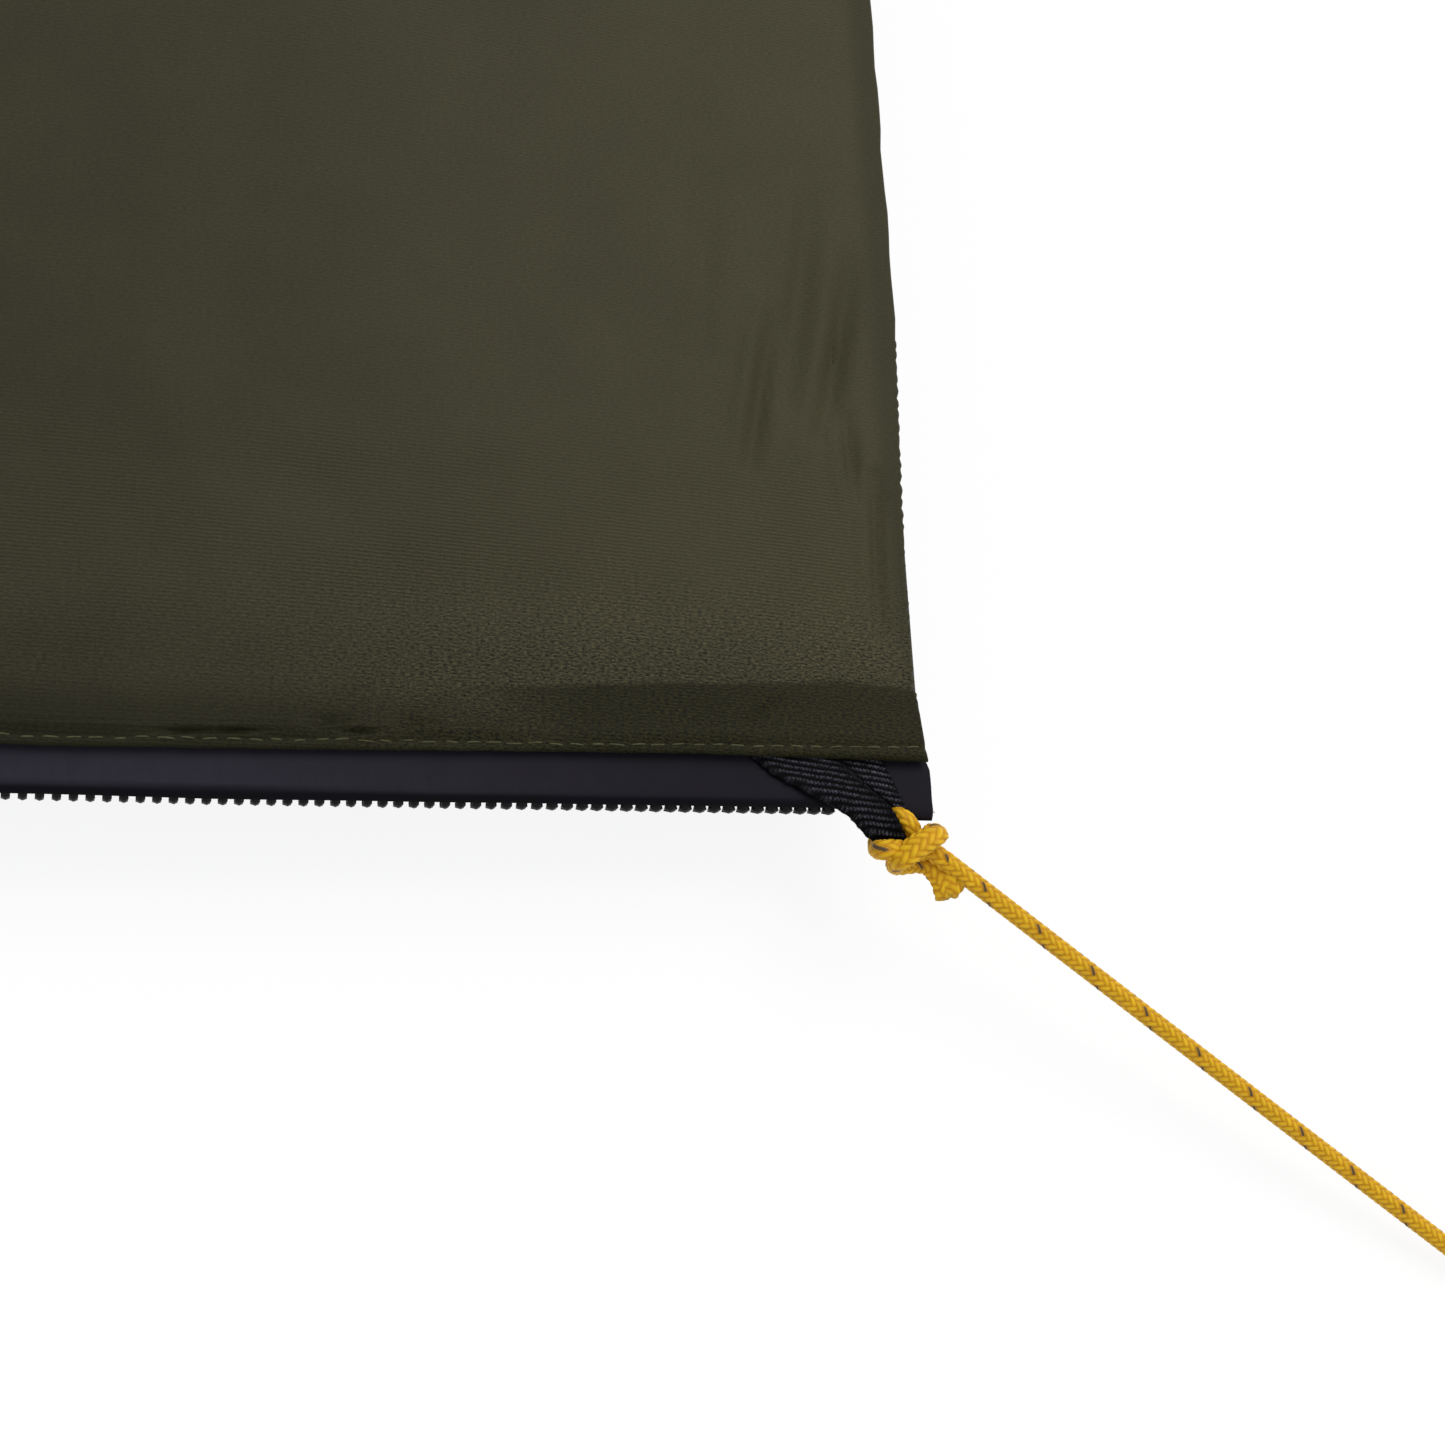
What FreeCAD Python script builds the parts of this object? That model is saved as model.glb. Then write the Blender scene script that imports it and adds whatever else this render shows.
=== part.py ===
import FreeCAD, Part
import math
import os
import re

import Sketcher

# A one-person bivy sack that lies on the ground, its foot end towards -Y and its head end
# towards +Y. Left and right are as seen from the foot end. The ground cloth and the top
# cloth are joined by a gusset on the left, by a closed zip down the right side, and by a
# zip across the foot, which is parted here.
# The origin is on the ground cloth's underside, in the middle of the sack. Millimetres.

SIZES = {
    "sack_length": 2200,
    "sack_width": 800,
    "side_height": 22,
    "foot_setback": 32,
    "edge_band": 38,
    "crown_head": 120,
    "loft_fullness": 3,
    "cloth_thickness": 1.0,
    "layer_gap": 0.3,
    "hem_thickness": 1.2,
    "hem_width": 12,
    "corner_clear": 26,
    "end_clear": 2,
    "tape_thickness": 0.8,
    "tape_reach": 6.2,
    "tape_width": 14,
    "tape_underlap": 7,
    "tape_bend": 4.0,
    "tape_bulge": 1.1,
    "tape_overrun": 0.5,
    "side_tape_end": 5,
    "coil_pitch": 2.1,
    "coil_height": 2.2,
    "coil_width": 3.2,
    "head_overhang": 1.0,
    "tooth_depth": 1.5,
    "tooth_head": 0.9,
    "sew_gap": 0.05,
    "run_gap": 0.25,
    "plate_gap": 0.35,
    "post_width": 1.0,
    "post_length": 2.8,
    "post_inset": 1.1,
    "slider_length": 15,
    "shoulder_width": 12.4,
    "shoulder_taper": 1.8,
    "shoulder_drop": 1.4,
    "slider_wall": 0.9,
    "flange_height": 1.3,
    "plate_thickness": 1.0,
    "plate_round": 0.4,
    "bridge_width": 2.4,
    "bridge_span": 8.8,
    "bridge_rise": 2.4,
    "bridge_thickness": 0.9,
    "puller_length": 22,
    "puller_width": 6.6,
    "puller_thickness": 1.4,
    "puller_waist": 12,
    "puller_tip_width": 5,
    "puller_corner": 2.2,
    "puller_eye": 6.5,
    "puller_eye_width": 3.8,
    "grip_end": 19.6,
    "grip_width": 3.6,
    "grip_tip_width": 2.8,
    "grip_depth": 0.35,
    "stop_length": 3,
    "top_stop_lead": 6,
    "side_stop_inset": 9,
    "side_slider_inset": 18,
    "pin_length": 14,
    "pin_radius": 0.9,
    "pin_nose": 0.5,
    "box_inset": 4,
    "box_length": 7,
    "box_height": 3.5,
    "box_overhang": 1,
    "webbing_thickness": 1.2,
    "webbing_leg": 6.5,
    "loop_base": 19,
    "loop_reach": 18,
    "loop_tip": 5.2,
    "eye_taper": 0.4,
    "loop_tail": 8,
    "loop_inset": 4.5,
    "loop_round": 4,
    "tied_reach": 7.8,
    "tied_tip": 7.2,
    "tied_lean": 1.3,
    "cord_diameter": 2.5,
    "knot_length": 10,
    "knot_width": 8.4,
    "knot_height": 6.4,
    "end_knot_length": 6.8,
    "end_knot_width": 6.0,
    "end_knot_height": 5.2,
    "end_loop_radius": 9,
    "cut_overrun": 1,
}

# Sizes that follow from those above.
WORKED_OUT = {
    "half_width": "sack_width / 2",
    "half_length": "sack_length / 2",
    "ground_foot": "half_length - foot_setback",
    # the layers sewn on the ground cloth: first the hem strip, then the zip tape
    "hem_low": "cloth_thickness + layer_gap",
    "tape_low": "hem_low + hem_thickness + layer_gap",
    # the layers sewn under the top cloth, counted downwards
    "hem_high": "side_height - cloth_thickness - layer_gap",
    "tape_high": "hem_high - hem_thickness - layer_gap",
    "zip_level": "side_height / 2",
    # distances across the slider from its middle line
    "open_row": "post_width / 2 + run_gap",
    "channel_half": "open_row + coil_width + run_gap",
    "slider_half": "slider_length / 2",
    "narrow_half": "channel_half + slider_wall",
    "shoulder_half": "shoulder_width / 2",
    # distances square to the tape from the middle of its thickness
    "coil_face": "tape_thickness / 2 + sew_gap",
    "coil_back": "coil_face + coil_height",
    "inner_plate": "coil_back + run_gap",
    "outer_plate": "tape_thickness / 2 + plate_gap",
    "plate_top": "outer_plate + plate_thickness",
    "hinge_height": "plate_top + bridge_rise / 2",
    # the upright part of each bent tape stands just outside the cloth's edge
    "side_tape_mid": "half_width + tape_bulge - tape_thickness / 2",
    "foot_tape_mid": "ground_foot + tape_bulge - tape_thickness / 2",
    # places along the foot zip
    "box_left": "half_width - box_inset",
    "box_right": "box_left - box_length",
    "foot_slider_rest": "box_right - run_gap - slider_half",
    "foot_stop": "half_width - hem_width - end_clear - stop_length",
    "top_stop": "foot_stop + top_stop_lead",
    "pin_left": "half_width - end_clear",
    # places along the side zip
    "side_stop": "ground_foot - side_stop_inset",
    "side_slider_rest": "half_length - side_slider_inset",
    "post_front": "slider_half - post_inset",
    "post_back": "post_front - post_length",
    "side_row_end": "side_slider_rest + post_back - 2 * run_gap",
    "loop_middle": "half_width - loop_inset - loop_base / 2",
    "eye_half": "loop_base / 2 - webbing_leg",
    "eye_end": "loop_reach - loop_tip",
    "eye_end_half": "eye_half - eye_taper",
}

# The taut guy line's middle, from the corner knot down to its far end on the ground.
GUY_LINE_ROUTE = [
    (401.6, -1115.5, 19.1),
    (444.0, -1142.0, 9.9),
    (491.5, -1173.2, 2.1),
]
CORNER_KNOT = (397.0, -1112.5, 20.1)
END_KNOT = (494.6, -1175.2, 2.7)
# How much of the shorter straight run the bend between two runs takes up.
BEND_SHARE = 0.45
# The rings of a knot's barrel: where along its length, and how wide beside its widest.
KNOT_RINGS = [(-0.5, 0.45), (-0.22, 1), (0.22, 1), (0.5, 0.45)]
KNOT_SIDES = 8
END_LOOP_SIDES = 16
# Where along the loft its sections stand.
LOFT_SHARES = [0, 0.04, 0.08, 0.125, 0.175, 0.23, 0.3, 0.38, 0.48, 0.62, 0.8, 1]

doc = FreeCAD.newDocument("bivy_sack")
finished = []


# ---- the sheet of sizes --------------------------------------------------------------


def named(formula):
    """The formula with each size's name looked up on the sheet."""
    return re.sub(r"\b[a-z][a-z_]+\b", lambda word: "Sizes." + word.group(0), formula)


sheet = doc.addObject("Spreadsheet::Sheet", "Sizes")
row = 0
for alias, value in SIZES.items():
    row += 1
    sheet.set(f"A{row}", alias)
    sheet.set(f"B{row}", str(value))
    sheet.setAlias(f"B{row}", alias)
for alias, formula in WORKED_OUT.items():
    row += 1
    sheet.set(f"A{row}", alias)
    sheet.set(f"B{row}", "=" + formula)
    sheet.setAlias(f"B{row}", alias)
doc.recompute()


def size(alias):
    """The present value of a named size."""
    return float(sheet.get(alias))


# ---- helpers -------------------------------------------------------------------------


def worked_out(formula):
    """The present value of a formula."""
    return float(sheet.evalExpression(named(formula)))


def bind(target, path, formula):
    target.setExpression(path, named(formula))


def block(label, low, high):
    """A plain block between two corners, each given as three formulas."""
    piece = doc.addObject("Part::Box", label)
    piece.Label = label
    for path, start, end in zip(("Length", "Width", "Height"), low, high):
        bind(piece, path, f"({end}) - ({start})")
    for path, start in zip("xyz", low):
        bind(piece, f"Placement.Base.{path}", start)
    finished.append(piece)
    return piece


def new_body(label):
    body = doc.addObject("PartDesign::Body", label)
    body.Label = label
    finished.append(body)
    return body


def origin_plane(body, role):
    return next(f for f in body.Origin.OriginFeatures if f.Role == role)


def outline(body, role, corners, offset="0"):
    """A closed outline of straight sides on one of the body's own planes.

    Each corner is a pair of formulas, and offset moves the outline along the plane's normal.
    """
    sketch = body.newObject("Sketcher::SketchObject", "Outline")
    sketch.AttachmentSupport = [(origin_plane(body, role), "")]
    sketch.MapMode = "FlatFace"
    bind(sketch, "AttachmentOffset.Base.z", offset)
    at = []
    for across, up in corners:
        x = float(body.evalExpression(named(across)))
        y = float(body.evalExpression(named(up)))
        at.append(FreeCAD.Vector(x, y, 0))
    for start, end in zip(at, at[1:] + at[:1]):
        sketch.addGeometry(Part.LineSegment(start, end), False)
    for side in range(len(at)):
        following = (side + 1) % len(at)
        sketch.addConstraint(Sketcher.Constraint("Coincident", side, 2, following, 1))
    for corner, formulas in enumerate(corners):
        for kind, formula in zip(("DistanceX", "DistanceY"), formulas):
            value = at[corner].x if kind == "DistanceX" else at[corner].y
            rule = Sketcher.Constraint(kind, -1, 1, corner, 1, value)
            index = sketch.addConstraint(rule)
            sketch.setExpression(f"Constraints[{index}]", named(formula))
    return sketch


def pad(body, sketch, length, midplane=False, reverse=False):
    feature = body.newObject("PartDesign::Pad", "Pad")
    feature.Profile = sketch
    bind(feature, "Length", length)
    feature.Midplane = midplane
    feature.Reversed = reverse
    doc.recompute()
    return feature


def pocket(body, sketch, length, midplane=False, reverse=False):
    before = body.Shape.Volume
    feature = body.newObject("PartDesign::Pocket", "Pocket")
    feature.Profile = sketch
    bind(feature, "Length", length)
    feature.Midplane = midplane
    feature.Reversed = reverse
    doc.recompute()
    if body.Shape.Volume > before - 1e-3:
        raise RuntimeError(f"a pocket of {body.Label} cuts nothing")
    return feature


def round_edges(body, radius, wanted):
    """Rounds the edges whose middle point passes the test."""
    names = []
    for number, edge in enumerate(body.Shape.Edges, start=1):
        middle = edge.valueAt((edge.FirstParameter + edge.LastParameter) / 2)
        if wanted(middle):
            names.append(f"Edge{number}")
    if not names:
        raise RuntimeError(f"no edge of {body.Label} to round")
    base = body.Tip
    feature = body.newObject("PartDesign::Fillet", "Fillet")
    feature.Base = (base, names)
    bind(feature, "Radius", radius)
    doc.recompute()
    return feature


def free_shape(label, shape):
    piece = doc.addObject("Part::Feature", label)
    piece.Label = label
    piece.Shape = shape
    finished.append(piece)
    return piece


def block_shape(low, high):
    low = FreeCAD.Vector(*low)
    sides = FreeCAD.Vector(*high) - low
    return Part.makeBox(sides.x, sides.y, sides.z, low)


def near(value, target):
    return abs(value - target) < 1e-3


def flat_face(corners):
    return Part.Face(Part.makePolygon(corners + corners[:1]))


# ---- the two cloths and the gusset ---------------------------------------------------


def arch_wire(y, crown, half_span, top, thickness):
    """The closed section of an arched strip of cloth: two parabolas and two upright ends."""
    rise = crown * (half_span / size("half_width")) ** 2
    edge = top + crown - rise
    wires = []
    for level in (edge, edge - thickness):
        curve = Part.BezierCurve()
        curve.setPoles([
            FreeCAD.Vector(-half_span, y, level),
            FreeCAD.Vector(0, y, level + 2 * rise),
            FreeCAD.Vector(half_span, y, level),
        ])
        wires.append(curve)
    upper, lower = wires
    ends = [
        Part.LineSegment(upper.EndPoint, lower.EndPoint),
        Part.LineSegment(lower.StartPoint, upper.StartPoint),
    ]
    return Part.Wire([upper.toShape(), ends[0].toShape(), lower.toShape(), ends[1].toShape()])


def make_top_panel():
    """Flat along the foot edge, then lofted higher and higher towards the head mouth."""
    half_span = size("half_width")
    top = size("side_height")
    thickness = size("cloth_thickness")
    end = size("half_length")
    band = size("edge_band")
    sections = []
    for share in LOFT_SHARES:
        y = band - end + share * 2 * (end - band)
        crown = size("crown_head") * (1 - (1 - share) ** size("loft_fullness"))
        sections.append(arch_wire(y, crown, half_span, top, thickness))
    loft = Part.makeLoft(sections, True, True)
    foot = block_shape((-half_span, -end, top - thickness), (half_span, band - end, top))
    head = Part.Face(sections[-1]).extrude(FreeCAD.Vector(0, band, 0))
    return foot.fuse([loft, head]).removeSplitter()


def make_head_hem():
    """The folded strip inside the head mouth, parallel to the arched top cloth."""
    start = size("half_length") - size("hem_width")
    half_span = size("half_width") - size("hem_width") - size("end_clear")
    wire = arch_wire(start, size("crown_head"), half_span, size("hem_high"), size("hem_thickness"))
    return Part.Face(wire).extrude(FreeCAD.Vector(0, size("hem_width"), 0))


block(
    "ground_panel",
    ("-half_width", "-ground_foot", "0"),
    ("half_width", "half_length", "cloth_thickness"),
)
free_shape("top_panel", make_top_panel())

gusset = new_body("left_gusset")
gusset_outline = outline(gusset, "XZ_Plane", [
    ("-half_width", "hem_low"),
    ("tape_underlap - half_width", "hem_low"),
    ("tape_underlap - half_width", "hem_low + cloth_thickness"),
    ("cloth_thickness - half_width", "hem_low + cloth_thickness"),
    ("cloth_thickness - half_width", "hem_high - cloth_thickness"),
    ("tape_underlap - half_width", "hem_high - cloth_thickness"),
    ("tape_underlap - half_width", "hem_high"),
    ("-half_width", "hem_high"),
], offset="hem_width - half_length")
pad(gusset, gusset_outline, "half_length - hem_width + ground_foot")


# ---- hems: folded strips along every free edge ---------------------------------------

block(
    "foot_hem_top",
    ("corner_clear - half_width", "-half_length", "hem_high - hem_thickness"),
    ("half_width - corner_clear", "hem_width - half_length", "hem_high"),
)
block(
    "foot_hem_ground",
    ("tape_underlap + end_clear - half_width", "-ground_foot", "hem_low"),
    ("half_width - hem_width - end_clear", "hem_width - ground_foot", "hem_low + hem_thickness"),
)
block(
    "side_hem_top",
    ("half_width - hem_width", "hem_width - half_length", "hem_high - hem_thickness"),
    ("half_width", "half_length - end_clear", "hem_high"),
)
block(
    "side_hem_ground",
    ("half_width - hem_width", "hem_width + end_clear - ground_foot", "hem_low"),
    ("half_width", "half_length - hem_width", "hem_low + hem_thickness"),
)
free_shape("head_hem_top", make_head_hem())
block(
    "head_hem_ground",
    ("corner_clear - half_width", "half_length - hem_width", "hem_low"),
    ("half_width - corner_clear", "half_length", "hem_low + hem_thickness"),
)


# ---- zip tapes -----------------------------------------------------------------------

# The top half of the foot zip lies flat under its hem, with its free edge outwards.
block(
    "foot_zip_tape_top",
    ("-half_width", "-half_length - tape_reach", "tape_high - tape_thickness"),
    ("half_width + tape_overrun", "tape_width - half_length - tape_reach", "tape_high"),
)


def bent_tape(label, plane, side, middle, inner, hem_face, edge, low_end, high_end):
    """A tape that lies along a hem and then turns up or down to the zip's middle line.

    side is 1 where the tape runs outwards along +, -1 where it runs outwards along -.
    hem_face is the tape's face towards its own cloth, and edge is its free edge.
    """
    upwards = worked_out(hem_face) < worked_out(edge)
    inner_face = f"({hem_face}) + tape_thickness" if upwards else f"({hem_face}) - tape_thickness"
    out = "" if side > 0 else "-"
    body = new_body(label)
    corners = [
        (f"{out}({inner})", hem_face),
        (f"{out}({middle} + tape_thickness / 2)", hem_face),
        (f"{out}({middle} + tape_thickness / 2)", edge),
        (f"{out}({middle} - tape_thickness / 2)", edge),
        (f"{out}({middle} - tape_thickness / 2)", inner_face),
        (f"{out}({inner})", inner_face),
    ]
    # the XZ plane's normal points along -Y, and the YZ plane's along +X
    offset = f"-({high_end})" if plane == "XZ_Plane" else low_end
    sketch = outline(body, plane, corners, offset=offset)
    pad(body, sketch, f"({high_end}) - ({low_end})")
    outside = side * (size(middle) + size("tape_thickness") / 2)
    inside = side * (size(middle) - size("tape_thickness") / 2)
    hem_level = worked_out(hem_face)
    inner_level = worked_out(inner_face)

    def across(point):
        return point.x if plane == "XZ_Plane" else point.y

    round_edges(
        body, "tape_bend + tape_thickness / 2",
        lambda point: near(across(point), outside) and near(point.z, hem_level),
    )
    round_edges(
        body, "tape_bend - tape_thickness / 2",
        lambda point: near(across(point), inside) and near(point.z, inner_level),
    )
    return body


bent_tape(
    "foot_zip_tape_ground", "YZ_Plane", -1, "foot_tape_mid", "ground_foot - tape_underlap",
    "tape_low", "zip_level - open_row - head_overhang",
    "box_overhang - box_left", "half_width - tape_underlap - end_clear",
)
bent_tape(
    "side_zip_tape_ground", "XZ_Plane", 1, "side_tape_mid", "half_width - tape_underlap",
    "tape_low", "zip_level - sew_gap - head_overhang",
    "end_clear - ground_foot", "half_length - side_tape_end",
)
bent_tape(
    "side_zip_tape_top", "XZ_Plane", 1, "side_tape_mid", "half_width - tape_underlap",
    "tape_high", "zip_level + sew_gap + head_overhang",
    "tape_width - tape_reach + end_clear - half_length", "half_length - side_tape_end",
)


# ---- zip coils -----------------------------------------------------------------------


def comb(start, end, root, tip):
    """The outline of a coil laid flat: a sewn spine with a row of interlocking heads.

    Each head narrows from the spine to its tip. root and tip are distances across the coil.
    """
    pitch = size("coil_pitch")
    flank = (pitch - size("tooth_head")) / 2
    base = tip - math.copysign(size("tooth_depth"), tip - root)
    points = [(start, root)]
    teeth = int((end - start) / pitch)
    for tooth in range(teeth):
        at = start + tooth * pitch
        points.append((at, base))
        points.append((at + flank, tip))
        points.append((at + pitch - flank, tip))
    points += [(start + teeth * pitch, base), (end, base), (end, root)]
    return points


def make_foot_coil_top():
    """Under the flat tape, with its heads standing out past the tape's edge."""
    start = size("pin_length") - size("pin_left") + size("run_gap")
    end = size("top_stop")
    tip = -size("half_length") - size("tape_reach") - size("head_overhang")
    upper = size("tape_high") - size("tape_thickness") - size("sew_gap")
    level = upper - size("coil_height")
    flat = comb(start, end, tip + size("coil_width"), tip)
    corners = [FreeCAD.Vector(x, y, level) for x, y in flat]
    return flat_face(corners).extrude(FreeCAD.Vector(0, 0, size("coil_height")))


def make_foot_coil_ground():
    """On the inner side of the upright tape, with its heads pointing up."""
    start = size("run_gap") - size("box_right")
    end = size("foot_stop")
    tip = size("zip_level") - size("open_row")
    front = size("coil_face") - size("foot_tape_mid")
    flat = comb(start, end, tip - size("coil_width"), tip)
    corners = [FreeCAD.Vector(x, front, z) for x, z in flat]
    return flat_face(corners).extrude(FreeCAD.Vector(0, size("coil_height"), 0))


free_shape("foot_zip_coil_top", make_foot_coil_top())
free_shape("foot_zip_coil_ground", make_foot_coil_ground())

# The closed side zip's two rows meet on its middle line.
block(
    "side_zip_coil_top",
    ("side_tape_mid - coil_back", "-side_stop", "zip_level + sew_gap"),
    ("side_tape_mid - coil_face", "side_row_end", "zip_level + sew_gap + coil_width"),
)
block(
    "side_zip_coil_ground",
    ("side_tape_mid - coil_back", "-side_stop", "zip_level - sew_gap - coil_width"),
    ("side_tape_mid - coil_face", "side_row_end", "zip_level - sew_gap"),
)


# ---- zip ends: stops, pin and retainer box -------------------------------------------

block(
    "foot_zip_stop_top",
    (
        "top_stop + sew_gap",
        "-half_length - tape_reach - head_overhang",
        "tape_high - tape_thickness - sew_gap - coil_height",
    ),
    (
        "top_stop + sew_gap + stop_length",
        "coil_width - half_length - tape_reach - head_overhang",
        "tape_high - tape_thickness - sew_gap",
    ),
)
block(
    "foot_zip_stop_ground",
    ("foot_stop + sew_gap", "coil_face - foot_tape_mid", "zip_level - open_row - coil_width"),
    (
        "foot_stop + sew_gap + stop_length",
        "coil_back - foot_tape_mid",
        "zip_level + open_row",
    ),
)
block(
    "side_zip_foot_stop",
    (
        "side_tape_mid - coil_back",
        "-side_stop - sew_gap - stop_length",
        "zip_level - coil_width",
    ),
    ("side_tape_mid - coil_face", "-side_stop - sew_gap", "zip_level + coil_width"),
)
block(
    "side_zip_head_stop_top",
    (
        "side_tape_mid - coil_back",
        "side_slider_rest + slider_half + run_gap",
        "zip_level + head_overhang",
    ),
    (
        "side_tape_mid - coil_face",
        "side_slider_rest + slider_half + run_gap + stop_length",
        "zip_level + coil_width",
    ),
)
block(
    "side_zip_head_stop_ground",
    (
        "side_tape_mid - coil_back",
        "side_slider_rest + slider_half + run_gap",
        "zip_level - coil_width",
    ),
    (
        "side_tape_mid - coil_face",
        "side_slider_rest + slider_half + run_gap + stop_length",
        "zip_level - head_overhang",
    ),
)

# The pin at the left end of the foot zip's top half, with a bevelled nose.
pin = new_body("foot_zip_pin")
pin_outline = outline(pin, "XY_Plane", [
    ("0", "0"),
    ("pin_length - pin_nose", "0"),
    ("pin_length", "pin_nose"),
    ("pin_length", "pin_radius * 2 - pin_nose"),
    ("pin_length - pin_nose", "pin_radius * 2"),
    ("0", "pin_radius * 2"),
])
pad(pin, pin_outline, "pin_radius * 2")
bind(pin, "Placement.Base.x", "-pin_left")
bind(pin, "Placement.Base.y", "-half_length - tape_reach - pin_radius")
bind(pin, "Placement.Base.z", "tape_high - tape_thickness - sew_gap - pin_radius * 2")

# The box that takes the pin, clamped on the upright tape at the left end of the ground half.
retainer = new_body("foot_zip_retainer_box")
retainer_outline = outline(retainer, "YZ_Plane", [
    ("-foot_tape_mid + inner_plate + plate_thickness", "zip_level - open_row - coil_width"),
    ("-foot_tape_mid + inner_plate + plate_thickness", "zip_level + box_height"),
    ("-foot_tape_mid - plate_top", "zip_level + box_height"),
    ("-foot_tape_mid - plate_top", "zip_level - open_row - coil_width"),
    ("-foot_tape_mid - coil_face - sew_gap", "zip_level - open_row - coil_width"),
    ("-foot_tape_mid - coil_face - sew_gap", "zip_level - open_row - head_overhang + sew_gap"),
    ("-foot_tape_mid + coil_face + sew_gap", "zip_level - open_row - head_overhang + sew_gap"),
    ("-foot_tape_mid + coil_face + sew_gap", "zip_level - open_row - coil_width"),
], offset="-box_left")
pad(retainer, retainer_outline, "box_length")
pin_hole = outline(retainer, "YZ_Plane", [
    ("-foot_tape_mid + coil_back - pin_radius * 2 - run_gap", "zip_level + run_gap"),
    ("-foot_tape_mid + coil_back + run_gap", "zip_level + run_gap"),
    ("-foot_tape_mid + coil_back + run_gap", "zip_level + run_gap * 3 + pin_radius * 2"),
    (
        "-foot_tape_mid + coil_back - pin_radius * 2 - run_gap",
        "zip_level + run_gap * 3 + pin_radius * 2",
    ),
], offset="-box_right")
pocket(retainer, pin_hole, "box_length - plate_thickness")


# ---- sliders and pullers -------------------------------------------------------------

# Both sliders are one casting: two shield-shaped plates joined by a post that parts the
# rows, side flanges that guide them, and a bridge over the outer plate for the puller.
# In the slider's own axes x is the closing direction, y runs across the rows and z points
# outwards from the middle of the tape.

SHIELD = [
    ("-slider_half", "narrow_half - slider_wall / 2"),
    ("slider_wall - slider_half", "narrow_half"),
    ("-slider_wall", "narrow_half"),
    ("slider_half / 2", "shoulder_half"),
    ("slider_half - shoulder_taper", "shoulder_half"),
    ("slider_half", "shoulder_half - shoulder_drop"),
]


def both_sides(half):
    """A closed outline from its upper half."""
    return half + [(along, f"-({across})") for along, across in reversed(half)]


def place_on_zip(piece, along_foot):
    """Turns a slider's or puller's own axes to the side zip or to the foot zip."""
    if along_foot:
        piece.Placement.Rotation = FreeCAD.Rotation(FreeCAD.Vector(1, 0, 0), 90)
        bind(piece, "Placement.Base.x", "-foot_slider_rest")
        bind(piece, "Placement.Base.y", "-foot_tape_mid")
    else:
        piece.Placement.Rotation = FreeCAD.Rotation(FreeCAD.Vector(1, 1, 1), 120)
        bind(piece, "Placement.Base.x", "side_tape_mid")
        bind(piece, "Placement.Base.y", "side_slider_rest")
    bind(piece, "Placement.Base.z", "zip_level")


def make_slider(label, along_foot):
    body = new_body(label)
    shield = both_sides(SHIELD)
    inner = outline(body, "XY_Plane", shield, offset="-inner_plate - plate_thickness")
    pad(body, inner, "plate_thickness + flange_height")
    channel = outline(body, "XY_Plane", both_sides([
        ("-slider_half - cut_overrun", "channel_half"),
        ("-slider_wall", "channel_half"),
        ("slider_half / 2", "shoulder_half - slider_wall"),
        ("slider_half + cut_overrun", "shoulder_half - slider_wall"),
    ]), offset="flange_height - inner_plate")
    pocket(body, channel, "flange_height")
    post = outline(body, "XY_Plane", both_sides([
        ("post_back", "post_width / 2"),
        ("post_front", "post_width / 2"),
    ]), offset="-inner_plate")
    pad(body, post, "inner_plate + outer_plate")
    outer = outline(body, "XY_Plane", shield, offset="outer_plate")
    pad(body, outer, "plate_thickness")
    bridge = outline(body, "XZ_Plane", [
        ("-bridge_span / 2", "plate_top"),
        ("bridge_thickness - bridge_span / 2", "plate_top + bridge_rise + bridge_thickness"),
        ("bridge_span / 2 - bridge_thickness", "plate_top + bridge_rise + bridge_thickness"),
        ("bridge_span / 2", "plate_top"),
        ("bridge_span / 2 - bridge_thickness", "plate_top"),
        ("bridge_span / 2 - bridge_thickness * 2", "plate_top + bridge_rise"),
        ("bridge_thickness * 2 - bridge_span / 2", "plate_top + bridge_rise"),
        ("bridge_thickness - bridge_span / 2", "plate_top"),
    ])
    pad(body, bridge, "bridge_width", midplane=True)
    rim = size("plate_top")
    half = size("slider_half")
    round_edges(
        body, "plate_round",
        lambda point: near(point.z, rim) and (
            abs(point.y) > size("narrow_half") - size("slider_wall") or near(abs(point.x), half)
        ),
    )
    place_on_zip(body, along_foot)
    return body


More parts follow.
